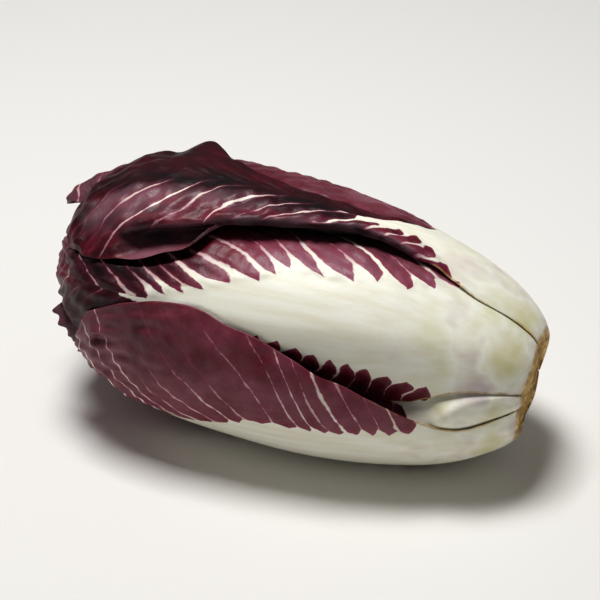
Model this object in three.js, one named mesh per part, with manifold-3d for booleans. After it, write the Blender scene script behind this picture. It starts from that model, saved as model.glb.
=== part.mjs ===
// A head of radicchio lying on its side: long leaves with thick white ribs, wrapped one over
// another round a dense heart, all grown from one short stem. Millimetres and degrees, +Z up.
// +X runs along the head towards the cut stem. The origin is under the middle of the head,
// on the surface that it lies on.
import * as THREE from 'three';
import { mergeVertices } from 'three/addons/utils/BufferGeometryUtils.js';
import Module from 'manifold-3d';

const wasm = await Module();
wasm.setup();

// Driving dimensions of the whole head
const headTilt = 7; // the stem end dips
const axisHeight = 44.5; // the head's axis above the surface, at axisMiddle
const axisMiddle = 91; // from the stem cut
const bladeThickness = 0.8;
const clearGap = 0.9; // between a leaf and the one under it
const bendPasses = 3; // how softly a leaf bends under the ones over it
const deepestFlare = -8; // how far a margin may stand out of the outline
const faceDown = -0.05; // how much an outline's normal has to point down to meet the surface

// The outline that the outermost leaves follow: distance from the stem cut, radius
const headOutline = [
  [0, 19], [4, 24.5], [16, 33], [38, 40.9], [68, 46.7], [98, 48],
  [127, 46.6], [150, 41.2], [165, 32], [173, 20.5], [177, 0],
];

// The stem, cut square inside the leaf bases: distance from their ends, radius
const stemOutline = [
  [1.5, 0], [1.5, 16.2], [2.1, 16.9], [3.2, 17], [5.2, 15.4], [8, 14.8], [8, 0],
];

// Ribs, from the stem to where they have thinned to a vein
const ribThicknessAtStem = 4.6;
const ribHalfWidthAtStem = 8.5;
const ribHalfWidthAtTip = 3;
const ribTaper = 1.2;

// How a leaf's grid is spread and bent
const rowCrowding = 1.25; // above 1 the rows stand closer towards the tip
const crossCurve = [1.6, 1.6]; // towards each margin; above 1 a leaf is flatter at its rib
const tipStartsRounding = 0.5; // of its length
const waveStart = 30; // from the stem; ribs near it don't wave
const waveFull = 90;

// Every leaf, from the outermost in. A row of shape has the distance from the stem over the
// head's outline, then the turn from the top of the head towards its front of one margin, the
// rib and the other margin, then how deep each of the three lies under the outline.
// A swell raises the leaf: distance, turn, height, half length, half turn.
const leaves = [
  {
    name: 'leaf_top', color: '#6b2038', rows: 23, columns: 13, ribEnd: 150, tipRound: 8,
    wave: 0.4, waveLength: 34,
    shape: [
      [1, -37, -12, 12, 1, 0, 1], [15, -36, -11, 14, 1, 0, 1],
      [30, -33, -10, 16, 1, 0, 1], [46, -27, -9, 10.5, 1, 0, 1],
      [57, -22, -9, 11, 0.8, 0, 1.5], [66, -14, -6, 12.5, 0.6, 0, 3],
      [81, -7, 0, 13, 0.4, 0.3, 3.5], [105, -8, 0, 25, 0.3, 0.5, 3],
      [118, -12, 0, 33, 0, 0.5, 2], [128, -17, 1, 38, -0.8, 0.5, 1.5],
      [142, -30, 4, 48, -5, 0.3, 1.5], [152, -31, 6, 52, -0.8, 0.3, 1.5],
      [161, -34, 7, 55, -2, 0.3, 1.5], [172, -28, 12, 56, -0.3, 0.5, 1.5],
      [184, -12, 20, 53, 0.8, 0.6, 1.5], [195, 0, 26, 46, 1.5, 0.8, 2],
    ],
    swells: [[128, 36, -2.5, 16, 5], [95, 12, 1.5, 30, 7]],
  },
  {
    name: 'leaf_crown', color: '#4a1526', rows: 21, columns: 13, ribEnd: 150, tipRound: 12,
    wave: 1, waveLength: 32,
    shape: [
      [1.2, -111, -74, -38, 1, 0, 1], [20, -113, -74, -34, 1.2, 0, 1],
      [40, -117, -72, -26, 1, 0, 1.2], [55, -121, -70, -12, 0.8, 0, 1.8],
      [75, -124, -68, 4, 0.6, 0, 2], [100, -126, -64, 10, 0.5, 0, 2],
      [130, -124, -58, 8, 0.5, 0, 2], [155, -116, -50, 6, 0.6, 0.3, 2],
      [174, -104, -42, 8, 1, -0.8, 1], [186, -88, -34, 8, 0, -4, 0],
      [197, -72, -30, 6, -1, -6.5, -4],
    ],
    swells: [],
  },
  {
    name: 'leaf_lower', color: '#4a1e2a', rows: 23, columns: 16, ribEnd: 150, tipRound: 7,
    wave: 0.5, waveLength: 30,
    shape: [
      [1, 85, 115, 141, 1, 0, 1], [11, 90.5, 117, 143, 1, 0, 1],
      [24, 97, 119, 153, 1, 0, 1], [40, 91.5, 122, 172, 0.8, 0, 0],
      [55, 83.5, 126, 190, 0.6, 0, 0], [85, 73, 132, 207, 0.5, 0, 0],
      [110, 65, 138, 210, 0.5, 0, 0], [130, 64, 143, 205, 0.6, 0, 0],
      [146, 71, 145, 192, 0.8, 0, 0.5], [158, 80, 134, 172, 1, 0.5, 1],
      [169, 90, 122, 152, 1.5, 1, 1.5],
    ],
    swells: [],
  },
  {
    name: 'leaf_back', color: '#431826', rows: 17, columns: 11, ribEnd: 150, tipRound: 12,
    wave: 0.9, waveLength: 30,
    shape: [
      [1.5, -163, -137, -112, 1, 0, 1], [24, -163, -137, -107, 1.2, 0, 1.5],
      [55, -168, -138, -95, 0.8, 0, 2], [90, -172, -140, -85, 0.8, 0, 2],
      [125, -168, -138, -80, 0.8, 0.3, 2], [150, -160, -132, -84, 1, 0.8, 2],
      [182, -142, -122, -98, 2, 1.2, 2],
    ],
    swells: [],
  },
  {
    name: 'leaf_under', color: '#451a28', rows: 16, columns: 10, ribEnd: 140, tipRound: 10,
    wave: 0.6, waveLength: 26,
    shape: [
      [1.5, 142, 169, 196, 1, 0, 1], [24, 143, 172, 200, 1.5, 0, 1.5],
      [55, 135, 175, 212, 2, 0, 2], [90, 126, 178, 218, 2, 1, 2],
      [125, 124, 178, 216, 2, 1, 2], [152, 134, 172, 206, 2, 1, 2],
      [182, 148, 168, 190, 2.5, 1.5, 2.5],
    ],
    swells: [],
  },
  {
    name: 'leaf_front', color: '#e9e6dc', rows: 20, columns: 14, ribEnd: 140, tipRound: 9,
    wave: 0.6, waveLength: 22, crossCurve: [1.6, 1],
    shape: [
      [1, 13, 41, 68, 1, 0, 1], [14.5, 12, 43, 69, 1.2, 0, 1.2],
      [28, 13, 44.5, 73, 2, 0, 2.5], [42, 6, 47, 86, 5, 0, 7],
      [60, -8, 51, 94, 10, 0, 11], [90, -6, 58, 94, 13, 0.3, 11],
      [120, 8, 64, 94, 13, 1.5, 8], [147, 26, 68, 102, 10, 2.5, 6],
      [168, 38, 70, 104, 5, 1.5, 3], [196, 48, 76, 100, 2, 1, 2.5],
    ],
    swells: [],
  },
  {
    name: 'leaf_wedge', color: '#e4e0d2', rows: 16, columns: 9, ribEnd: 130, tipRound: 8,
    wave: 0.6, waveLength: 24,
    shape: [
      [1.5, 69, 77, 84, 1, 0, 1], [14, 67, 81, 96, 1.2, 0, 1.2],
      [28, 65, 85, 104, 2, 0, 2], [55, 58, 90, 116, 3, 1.5, 3],
      [90, 52, 92, 122, 3, 2, 3], [125, 58, 92, 118, 3, 2, 3],
      [155, 74, 98, 120, 2, 1, 2], [184, 80, 100, 118, 0, -1, 0],
    ],
    swells: [],
  },
  {
    name: 'leaf_inner_top', color: '#4b2430', rows: 14, columns: 8, ribEnd: 120, tipRound: 9,
    wave: 0.6, waveLength: 24,
    shape: [
      [16, -34, -12, 10, 2, 2, 2], [60, -44, -8, 30, 3, 3, 3], [120, -40, 0, 38, 3, 3, 3],
      [160, -30, 5, 38, 2, 2, 2], [200, -34, 4, 44, 1.5, 1, 1.5],
    ],
    swells: [],
  },
  {
    name: 'leaf_inner_front', color: '#3f1620', rows: 14, columns: 8, ribEnd: 120, tipRound: 9,
    wave: 0.6, waveLength: 22,
    shape: [
      [16, 16, 40, 64, 3, 3, 3], [60, 8, 45, 80, 3, 3, 3], [120, 20, 52, 84, 3, 3, 3],
      [165, 30, 58, 84, 3, 3, 3], [203, 22, 58, 94, 1.5, 0.5, 1.5],
    ],
    swells: [],
  },
  {
    name: 'leaf_inner_back', color: '#3f1620', rows: 14, columns: 8, ribEnd: 120, tipRound: 9,
    wave: 0.7, waveLength: 24,
    shape: [
      [16, -140, -112, -84, 2, 2, 2], [60, -150, -110, -70, 3, 3, 3],
      [120, -146, -106, -66, 3, 3, 3], [165, -126, -100, -70, 2, 2, 2],
      [201, -132, -94, -54, 1.5, 0.8, 1.5],
    ],
    swells: [],
  },
  {
    name: 'leaf_inner_under', color: '#3f1620', rows: 14, columns: 8, ribEnd: 120, tipRound: 9,
    wave: 0.6, waveLength: 24,
    shape: [
      [16, 150, 180, 208, 2, 2, 2], [60, 140, 182, 224, 3, 3, 3],
      [120, 142, 180, 220, 3, 3, 3], [165, 148, 178, 208, 2, 2, 2],
      [200, 142, 178, 214, 1.5, 0.8, 1.5],
    ],
    swells: [],
  },
];

// The heart, and the tips of the small leaves that it ends in
const heartStart = 15; // from the stem over the outline
const heartDepth = 6.5;
const heartRows = 22;
const heartColumns = 26;
const heartEnd = 4; // short of the outline's pole
const heartTipShrink = 1.6; // the core falls away under its own leaf tips
const heartTipShrinkLength = 15;
const heartTipStart = 168;
const heartTipTurns = [-152, -74, -8, 62, 128];
const heartTipHalfTurn = 44;
const heartTipNarrowing = 0.45;
const heartTipRound = 7;
const heartTipEnd = 207;
const heartTipThickness = 1.4;
const heartTipDepth = 2;
const heartTipRoot = 3; // how far a tip's start sinks into the core
const heartTipLean = 0.8; // one side of a tip tucks under the next
const heartTipRows = 8;
const heartTipColumns = 6;

const stemSides = 40;

const degree = Math.PI / 180;

function smoothStep(from, to, value) {
  return THREE.MathUtils.smoothstep(value, from, to);
}

// The head's outline, measured by distance over it from the stem
const outlineCurve = new THREE.CatmullRomCurve3(
  headOutline.map(([along, radius]) => new THREE.Vector3(along, radius, 0)),
  false,
  'centripetal',
);
const outlineSteps = 420;
const outlinePoints = outlineCurve.getSpacedPoints(outlineSteps);
const outlineLength = outlineCurve.getLength();

function outlineAt(distance) {
  const step = THREE.MathUtils.clamp((distance / outlineLength) * outlineSteps, 0, outlineSteps);
  const first = Math.min(Math.floor(step), outlineSteps - 1);
  const here = outlinePoints[first];
  const next = outlinePoints[first + 1];
  const point = here.clone().lerp(next, step - first);
  const tangent = next.clone().sub(here).normalize();
  return { along: point.x, radius: point.y, outAlong: -tangent.y, outRadius: tangent.x };
}

// A point of the head in its own frame, before it is laid down
function headPoint(distance, turn, depth) {
  const outline = outlineAt(distance);
  const radius = Math.max(outline.radius - depth * outline.outRadius, 0);
  return new THREE.Vector3(
    axisMiddle - outline.along + depth * outline.outAlong,
    -radius * Math.sin(turn * degree),
    radius * Math.cos(turn * degree),
  );
}

// How deep a leaf has to lie so that nothing reaches below the surface the head rests on
function depthAboveSurface(distance, turn) {
  const outline = outlineAt(distance);
  const point = headPoint(distance, turn, 0);
  const sine = Math.sin(headTilt * degree);
  const cosine = Math.cos(headTilt * degree);
  const height = axisHeight - point.x * sine + point.z * cosine;
  const rise = outline.outAlong * sine + outline.outRadius * Math.cos(turn * degree) * cosine;
  return rise < faceDown ? Math.max(height / rise, deepestFlare) : deepestFlare;
}

// The depth that is still free under the leaves laid so far, on a grid over the outline
const roomStep = 1.5;
const roomTurnStep = 1.5;
const roomSamples = 10; // along each side of a leaf's grid square
const roomRows = Math.ceil(outlineLength / roomStep) + 1;
const roomColumns = 360 / roomTurnStep;
const room = new Float64Array(roomRows * roomColumns).fill(deepestFlare);

function roomIndex(row, column) {
  const safeRow = THREE.MathUtils.clamp(row, 0, roomRows - 1);
  return safeRow * roomColumns + THREE.MathUtils.euclideanModulo(column, roomColumns);
}

function deepestRoom(places) {
  const distances = places.map((place) => place.distance);
  const turns = places.map((place) => place.turn);
  const lastRow = Math.ceil(Math.max(...distances) / roomStep);
  const lastColumn = Math.ceil(Math.max(...turns) / roomTurnStep);
  let deepest = deepestFlare;
  for (let row = Math.floor(Math.min(...distances) / roomStep); row <= lastRow; row += 1) {
    for (let column = Math.floor(Math.min(...turns) / roomTurnStep); column <= lastColumn; column += 1) {
      deepest = Math.max(deepest, room[roomIndex(row, column)]);
    }
  }
  return deepest;
}

// Values of a table between its rows, on a smooth curve through them
function alongTable(table, distance) {
  const last = table.length - 1;
  const place = THREE.MathUtils.clamp(distance, table[0][0], table[last][0]);
  let row = 0;
  while (row < last - 1 && table[row + 1][0] < place) row += 1;
  const from = table[row];
  const to = table[row + 1];
  const before = table[Math.max(row - 1, 0)];
  const after = table[Math.min(row + 2, last)];
  const span = to[0] - from[0];
  const t = (place - from[0]) / span;
  return from.map((value, column) => {
    const startSlope = ((to[column] - before[column]) / (to[0] - before[0])) * span;
    const endSlope = ((after[column] - value) / (after[0] - from[0])) * span;
    const cubic = 2 * value - 2 * to[column] + startSlope + endSlope;
    const square = -3 * value + 3 * to[column] - 2 * startSlope - endSlope;
    return ((cubic * t + square) * t + startSlope) * t + value;
  });
}

// Where a leaf's grid point lies: along runs from 0 at the stem to 1 at the tip, across from
// -1 at one margin over 0 at the rib to 1 at the other
function leafPlace(leaf, along, across) {
  const start = leaf.shape[0][0];
  const tip = leaf.shape[leaf.shape.length - 1][0];
  const closerRows = 1 - (1 - along) ** rowCrowding;
  const rounding = leaf.tipRound * across ** 2 * smoothStep(tipStartsRounding, 1, along);
  const distance = start + (tip - start) * closerRows - rounding;
  const [, low, rib, high, lowDepth, ribDepth, highDepth] = alongTable(leaf.shape, distance);
  const side = Math.abs(across);
  const margin = across < 0 ? low : high;
  const marginDepth = across < 0 ? lowDepth : highDepth;
  const ripple = Math.sin((distance / leaf.waveLength) * 2 * Math.PI + 2 * across);
  const rippling = leaf.wave * side ** 3 * smoothStep(waveStart, waveFull, distance) * ripple;
  const turn = rib + (margin - rib) * side + rippling;
  const [lowCurve, highCurve] = leaf.crossCurve ?? crossCurve;
  const curve = across < 0 ? lowCurve : highCurve;
  let depth = ribDepth + (marginDepth - ribDepth) * side ** curve - rippling;
  for (const [swellDistance, swellTurn, height, halfLength, halfTurn] of leaf.swells) {
    const offLength = (distance - swellDistance) / halfLength;
    const offTurn = (turn - swellTurn) / halfTurn;
    depth -= height * Math.exp(-(offLength ** 2) - offTurn ** 2);
  }
  return { distance, turn, depth, ribOffset: (turn - rib) * degree * outlineAt(distance).radius };
}

function leafThickness(leaf, place) {
  const reach = THREE.MathUtils.clamp(place.distance / leaf.ribEnd, 0, 1);
  const halfWidth = THREE.MathUtils.lerp(ribHalfWidthAtStem, ribHalfWidthAtTip, reach);
  const fullness = (1 - reach) ** ribTaper * Math.exp(-((place.ribOffset / halfWidth) ** 2));
  return bladeThickness + (ribThicknessAtStem - bladeThickness) * fullness;
}

function neighbours(grid, row, column) {
  const near = [];
  for (let i = Math.max(row - 1, 0); i <= Math.min(row + 1, grid.length - 1); i += 1) {
    for (let j = Math.max(column - 1, 0); j <= Math.min(column + 1, grid[0].length - 1); j += 1) {
      near.push(grid[i][j]);
    }
  }
  return near;
}

// Lays a leaf on the free room: no point of it reaches into the leaves that lie over it. It
// bends softly where it is pushed deeper, because each point is pushed as far as its
// neighbours are on average.
function layDown(grid) {
  grid.forEach((line, row) => {
    line.forEach((place, column) => {
      place.push = Math.max(deepestRoom(neighbours(grid, row, column)) - place.depth, 0);
    });
  });
  for (let pass = 0; pass < bendPasses; pass += 1) {
    const means = grid.map((line, row) => line.map((place, column) => {
      const near = neighbours(grid, row, column);
      return near.reduce((sum, other) => sum + other.push, 0) / near.length;
    }));
    grid.forEach((line, row) => {
      line.forEach((place, column) => {
        place.push = Math.max(place.push, means[row][column]);
      });
    });
  }
  for (const place of grid.flat()) {
    const pressedFlat = depthAboveSurface(place.distance, place.turn);
    place.outer = Math.max(place.depth + place.push, pressedFlat);
  }
}

// Takes the room down to clearGap under a grid's inner face
function fillRoom(grid) {
  const { lerp } = THREE.MathUtils;
  for (let row = 0; row < grid.length - 1; row += 1) {
    for (let column = 0; column < grid[0].length - 1; column += 1) {
      const [a, b] = [grid[row][column], grid[row][column + 1]];
      const [c, d] = [grid[row + 1][column], grid[row + 1][column + 1]];
      for (let step = 0; step < (roomSamples + 1) ** 2; step += 1) {
        const along = Math.floor(step / (roomSamples + 1)) / roomSamples;
        const across = (step % (roomSamples + 1)) / roomSamples;
        const between = (key) => lerp(lerp(a[key], b[key], across), lerp(c[key], d[key], across), along);
        const roomRow = Math.round(between('distance') / roomStep);
        const index = roomIndex(roomRow, Math.round(between('turn') / roomTurnStep));
        room[index] = Math.max(room[index], between('inner') + clearGap);
      }
    }
  }
}

// A closed solid between a grid's outer and inner face, both split into triangles alike
function sheetGeometry(grid) {
  const rows = grid.length;
  const columns = grid[0].length;
  const positions = [];
  for (const face of ['outer', 'inner']) {
    for (const place of grid.flat()) {
      positions.push(...headPoint(place.distance, place.turn, place[face]).toArray());
    }
  }
  const outer = (row, column) => row * columns + column;
  const inner = (row, column) => rows * columns + row * columns + column;
  const indices = [];
  for (let row = 0; row < rows - 1; row += 1) {
    for (let column = 0; column < columns - 1; column += 1) {
      const corners = [[row, column], [row + 1, column], [row + 1, column + 1], [row, column + 1]];
      const [a, b, c, d] = corners.map(([i, j]) => outer(i, j));
      const [e, f, g, h] = corners.map(([i, j]) => inner(i, j));
      indices.push(a, b, c, a, c, d, e, g, f, e, h, g);
    }
  }
  const rim = [];
  for (let row = 0; row < rows; row += 1) rim.push([row, 0]);
  for (let column = 1; column < columns; column += 1) rim.push([rows - 1, column]);
  for (let row = rows - 2; row >= 0; row -= 1) rim.push([row, columns - 1]);
  for (let column = columns - 2; column > 0; column -= 1) rim.push([0, column]);
  rim.forEach(([row, column], step) => {
    const [nextRow, nextColumn] = rim[(step + 1) % rim.length];
    const a = outer(row, column);
    const b = outer(nextRow, nextColumn);
    const c = inner(nextRow, nextColumn);
    const d = inner(row, column);
    indices.push(a, c, b, a, d, c);
  });
  return closedGeometry(positions, indices);
}

function closedGeometry(positions, indices) {
  const geometry = new THREE.BufferGeometry();
  geometry.setAttribute('position', new THREE.Float32BufferAttribute(positions, 3));
  geometry.setIndex(indices);
  geometry.computeVertexNormals();
  return geometry;
}

function leafGrid(leaf) {
  const grid = [];
  for (let row = 0; row <= leaf.rows; row += 1) {
    const line = [];
    for (let column = 0; column <= leaf.columns; column += 1) {
      line.push(leafPlace(leaf, row / leaf.rows, (column / leaf.columns) * 2 - 1));
    }
    grid.push(line);
  }
  layDown(grid);
  for (const place of grid.flat()) place.inner = place.outer + leafThickness(leaf, place);
  return grid;
}

function paint(color, roughness) {
  return new THREE.MeshStandardMaterial({ color, roughness, metalness: 0 });
}

function namedMesh(name, geometry, material) {
  const mesh = new THREE.Mesh(geometry, material);
  mesh.name = name;
  return mesh;
}

function makeLeaf(leaf) {
  const grid = leafGrid(leaf);
  fillRoom(grid);
  return namedMesh(leaf.name, sheetGeometry(grid), paint(leaf.color, 0.4));
}

function toSolid(geometry) {
  const bare = geometry.clone();
  bare.deleteAttribute('normal');
  bare.deleteAttribute('uv');
  const merged = mergeVertices(bare, 1e-4);
  return new wasm.Manifold(new wasm.Mesh({
    numProp: 3,
    vertProperties: merged.attributes.position.array,
    triVerts: new Uint32Array(merged.index.array),
  }));
}

function toGeometry(solid) {
  const mesh = solid.getMesh();
  return closedGeometry([...mesh.vertProperties], [...mesh.triVerts]);
}

// The dense core that the leaves wrap, closed round from its base to the pole at its tip
function heartCore() {
  const rowStep = (outlineLength - heartEnd - heartStart) / heartRows;
  const turnStep = 360 / heartColumns;
  const shrinkEnd = heartTipStart + heartTipShrinkLength;
  const positions = [];
  for (let row = 0; row <= heartRows; row += 1) {
    const distance = heartStart + row * rowStep;
    const shrink = heartTipShrink * smoothStep(heartTipStart, shrinkEnd, distance);
    for (let column = 0; column < heartColumns; column += 1) {
      const turn = column * turnStep;
      const around = [-1, 1].map((side) => ({
        distance: distance + side * rowStep,
        turn: turn + side * turnStep,
      }));
      const depth = Math.max(heartDepth, deepestRoom(around) + shrink);
      positions.push(...headPoint(distance, turn, depth).toArray());
    }
  }
  const base = positions.length / 3;
  const baseCentre = headPoint(heartStart, 0, heartDepth);
  const pole = headPoint(outlineLength, 0, heartDepth + heartTipShrink);
  positions.push(baseCentre.x, 0, 0, pole.x, 0, 0);
  const indices = [];
  for (let column = 0; column < heartColumns; column += 1) {
    const next = (column + 1) % heartColumns;
    indices.push(base, column, next);
    for (let row = 0; row < heartRows; row += 1) {
      const here = row * heartColumns;
      const there = here + heartColumns;
      indices.push(here + column, there + column, there + next);
      indices.push(here + column, there + next, here + next);
    }
    const last = heartRows * heartColumns;
    indices.push(last + column, base + 1, last + next);
  }
  return closedGeometry(positions, indices);
}

// A small leaf tip that leans over the pole, sunk into the core at its start
function heartTip(turn) {
  const grid = [];
  for (let row = 0; row <= heartTipRows; row += 1) {
    const along = row / heartTipRows;
    const line = [];
    for (let column = 0; column <= heartTipColumns; column += 1) {
      const across = (column / heartTipColumns) * 2 - 1;
      const halfTurn = heartTipHalfTurn * (1 - heartTipNarrowing * along ** 2);
      const end = heartTipEnd - heartTipRound * across ** 2;
      const distance = THREE.MathUtils.lerp(heartTipStart, end, along);
      line.push({ distance, turn: turn + halfTurn * across, depth: heartTipDepth, along, across });
    }
    grid.push(line);
  }
  layDown(grid);
  for (const place of grid.flat()) {
    const root = heartTipRoot * (1 - smoothStep(0, 0.6, place.along));
    place.outer += root + heartTipLean * (1 + place.across);
    place.inner = place.outer + heartTipThickness;
  }
  return sheetGeometry(grid);
}

function makeHeart() {
  let solid = toSolid(heartCore());
  for (const turn of heartTipTurns) solid = solid.add(toSolid(heartTip(turn)));
  const outside = solid.decompose().reduce((most, body) => (body.volume() > most.volume() ? body : most));
  return namedMesh('heart', toGeometry(outside), paint('#3f1620', 0.5));
}

function makeStem() {
  const profile = stemOutline.map(([along, radius]) => new THREE.Vector2(radius, -along));
  const geometry = new THREE.LatheGeometry(profile.reverse(), stemSides);
  const stem = namedMesh('stem', geometry, paint('#8b6b3a', 0.85));
  stem.rotation.z = -90 * degree;
  stem.position.x = axisMiddle;
  return stem;
}

const head = new THREE.Group();
for (const leaf of leaves) head.add(makeLeaf(leaf));
head.add(makeHeart(), makeStem());
head.rotation.y = headTilt * degree;
head.position.z = axisHeight;

const radicchio = new THREE.Group();
radicchio.add(head);
radicchio.updateMatrixWorld(true);
const middle = new THREE.Box3().setFromObject(head, true).getCenter(new THREE.Vector3());
head.position.x -= middle.x;
head.position.y -= middle.y;

export default radicchio;
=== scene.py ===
# %% [markdown]
# # A head of red radicchio
# The head lies on its side: long leaves with thick white ribs are wrapped one over another round a
# dense heart, and all of them grow from one short stem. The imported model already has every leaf
# as a plain solid. This notebook lays finer leaves in their places, with raised veins, puckered
# blades and wavy margins, and paints them with the red and white of the real plant.

# %% Open the frame
import bpy
import numpy as np
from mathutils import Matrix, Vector


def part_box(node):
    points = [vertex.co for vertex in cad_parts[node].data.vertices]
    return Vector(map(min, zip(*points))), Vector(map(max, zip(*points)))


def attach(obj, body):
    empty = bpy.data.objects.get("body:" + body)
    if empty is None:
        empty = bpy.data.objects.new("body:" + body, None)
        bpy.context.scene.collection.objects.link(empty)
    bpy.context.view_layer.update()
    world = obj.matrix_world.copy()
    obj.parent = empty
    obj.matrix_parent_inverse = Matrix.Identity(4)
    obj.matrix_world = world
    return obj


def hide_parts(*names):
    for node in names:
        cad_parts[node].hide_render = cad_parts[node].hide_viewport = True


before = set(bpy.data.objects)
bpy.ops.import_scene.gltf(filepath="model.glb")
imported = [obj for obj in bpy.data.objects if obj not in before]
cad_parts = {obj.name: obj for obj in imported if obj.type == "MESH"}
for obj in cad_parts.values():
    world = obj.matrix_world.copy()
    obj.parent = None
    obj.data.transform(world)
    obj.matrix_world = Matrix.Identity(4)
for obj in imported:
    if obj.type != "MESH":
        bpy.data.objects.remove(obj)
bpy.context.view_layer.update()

print("nodes:", sorted(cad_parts))

# %% [markdown]
# ## The outline of the head
# Every leaf hugs one smooth outline, like cloth on a form. It is a curve through a few points,
# each with its distance from the stem cut and its radius, and it is turned round the axis of the
# head. A place on a leaf is then three numbers: the distance walked over the outline from the
# stem, the turn round the axis, and the depth under the outline. Working in these numbers keeps
# leaves from cutting through each other, because only the depths have to be compared.

# %% Walk over the outline
MM = 0.001
DEGREE = np.pi / 180
HEAD_OUTLINE = [(0, 19), (4, 24.5), (16, 33), (38, 40.9), (68, 46.7), (98, 48),
                (127, 46.6), (150, 41.2), (165, 32), (173, 20.5), (177, 0)]
STEPS_PER_SPAN = 60


def smooth_line(points, steps):
    """A smooth curve through points, with more bend where they lie close together."""
    points = np.array(points, float)
    ends = [2 * points[0] - points[1]], [2 * points[-1] - points[-2]]
    points = np.concatenate([ends[0], points, ends[1]])
    reach = np.linalg.norm(np.diff(points, axis=0), axis=1) ** 0.5
    pieces = []
    for i in range(1, len(points) - 2):
        before, here, after, later = points[i - 1:i + 3]
        r0, r1, r2 = reach[i - 1:i + 2]
        start = ((here - before) / r0 - (after - before) / (r0 + r1) + (after - here) / r1) * r1
        end = ((after - here) / r1 - (later - here) / (r1 + r2) + (later - after) / r2) * r1
        t = np.linspace(0, 1, steps, endpoint=False)[:, None]
        cubic = 2 * here - 2 * after + start + end
        square = 3 * after - 3 * here - 2 * start - end
        pieces.append(((cubic * t + square) * t + start) * t + here)
    pieces.append(points[-2:-1])
    return np.concatenate(pieces)


outline = smooth_line(HEAD_OUTLINE, STEPS_PER_SPAN)
strides = np.linalg.norm(np.diff(outline, axis=0), axis=1)
outline_walk = np.concatenate([[0], np.cumsum(strides)])
outline_length = outline_walk[-1]
outline_heading = np.gradient(outline, outline_walk, axis=0)
print("over the outline from stem to tip, mm:", round(outline_length, 1))


def outline_at(distance):
    """Distance from the stem cut, radius, and the outward direction along and across the axis."""
    along = np.interp(distance, outline_walk, outline[:, 0])
    radius = np.interp(distance, outline_walk, outline[:, 1])
    heading_along = np.interp(distance, outline_walk, outline_heading[:, 0])
    heading_radius = np.interp(distance, outline_walk, outline_heading[:, 1])
    size = np.maximum(np.hypot(heading_along, heading_radius), 1e-6)
    return along, radius, -heading_radius / size, heading_along / size


# %% Place the head in the frame
HEAD_TILT = 7 * DEGREE
AXIS_HEIGHT = 44.5
AXIS_MIDDLE = 91.0
STEM_OUTLINE = [(1.5, 0), (1.5, 16.2), (2.1, 16.9), (3.2, 17), (5.2, 15.4), (8, 14.8), (8, 0)]
stem_low, stem_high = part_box("stem")
stem_reach = max((AXIS_MIDDLE - a) * np.cos(HEAD_TILT) + r * np.sin(HEAD_TILT) for a, r in STEM_OUTLINE)
SHIFT = np.array([stem_high[0] / MM - stem_reach, (stem_low[1] + stem_high[1]) / 2 / MM, AXIS_HEIGHT])
print("the middle of the head in the frame, mm:", SHIFT.round(2))


def lay_down(points):
    """From the head's own frame in millimetres to the row frame in metres."""
    x, y, z = points[..., 0], points[..., 1], points[..., 2]
    tilted = np.stack([x * np.cos(HEAD_TILT) + z * np.sin(HEAD_TILT), y,
                       z * np.cos(HEAD_TILT) - x * np.sin(HEAD_TILT)], -1)
    return (tilted + SHIFT) * MM


def head_point(distance, turn, depth):
    along, radius, out_along, out_radius = outline_at(distance)
    ring = np.maximum(radius - depth * out_radius, 0)
    x = AXIS_MIDDLE - along + depth * out_along
    return np.stack([x, -ring * np.sin(turn * DEGREE), ring * np.cos(turn * DEGREE)], -1)


DEEPEST_FLARE = -8.0
FACE_DOWN = -0.05


def depth_above_floor(distance, turn):
    """How deep a leaf has to lie so that it doesn't reach below the floor."""
    _, _, out_along, out_radius = outline_at(distance)
    height = lay_down(head_point(distance, turn, np.zeros_like(distance)))[..., 2] / MM
    rise = out_along * np.sin(HEAD_TILT) + out_radius * np.cos(turn * DEGREE) * np.cos(HEAD_TILT)
    facing = rise < FACE_DOWN
    return np.where(facing, np.maximum(height / np.where(facing, rise, -1), DEEPEST_FLARE), DEEPEST_FLARE)


# %% [markdown]
# ## The free room under the leaves
# A leaf further in has to bend under those that lie over it. A map of the outline, one millimetre
# by one degree, holds the depth that is still free. Each leaf takes its room from the map and
# then lowers it by its own thickness and a small gap. The map is first widened and then blurred
# by the same reach, which makes the bends soft and never lets a leaf rise into its neighbour.

# %% Keep a map of the free room
ROOM_ROWS = int(outline_length) + 3
SOFT_ROWS, SOFT_COLUMNS = 4, 5
LEAF_GAP = 0.25
room = np.full((ROOM_ROWS, 360), DEEPEST_FLARE)
print("map of the free room:", room.shape)


def shifted(values, rows, columns):
    moved = np.roll(values, columns, axis=1)
    index = np.clip(np.arange(ROOM_ROWS) - rows, 0, ROOM_ROWS - 1)
    return moved[index]


def copies(values, reach, rows, columns):
    """The map moved step by step in one direction, as far as the reach both ways."""
    return [shifted(values, step * rows, step * columns) for step in range(-reach, reach + 1)]


def soft_room():
    """The map widened along and across the outline, and then blurred by the same reach."""
    directions = ((SOFT_ROWS, 1, 0), (SOFT_COLUMNS, 0, 1))
    soft = room
    for direction in directions:
        soft = np.maximum.reduce(copies(soft, *direction))
    for direction in directions:
        soft = sum(copies(soft, *direction)) / (2 * direction[0] + 1)
    return soft


def read_room(values, distance, turn):
    row = np.clip(distance, 0, ROOM_ROWS - 1.001)
    low_row, low_column = np.floor(row).astype(int), np.floor(turn).astype(int)
    part_row, part_column = row - low_row, turn - low_column
    here, next_column = low_column % 360, (low_column + 1) % 360
    first = values[low_row, here] * (1 - part_column) + values[low_row, next_column] * part_column
    second = values[low_row + 1, here] * (1 - part_column) + values[low_row + 1, next_column] * part_column
    return first * (1 - part_row) + second * part_row


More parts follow.
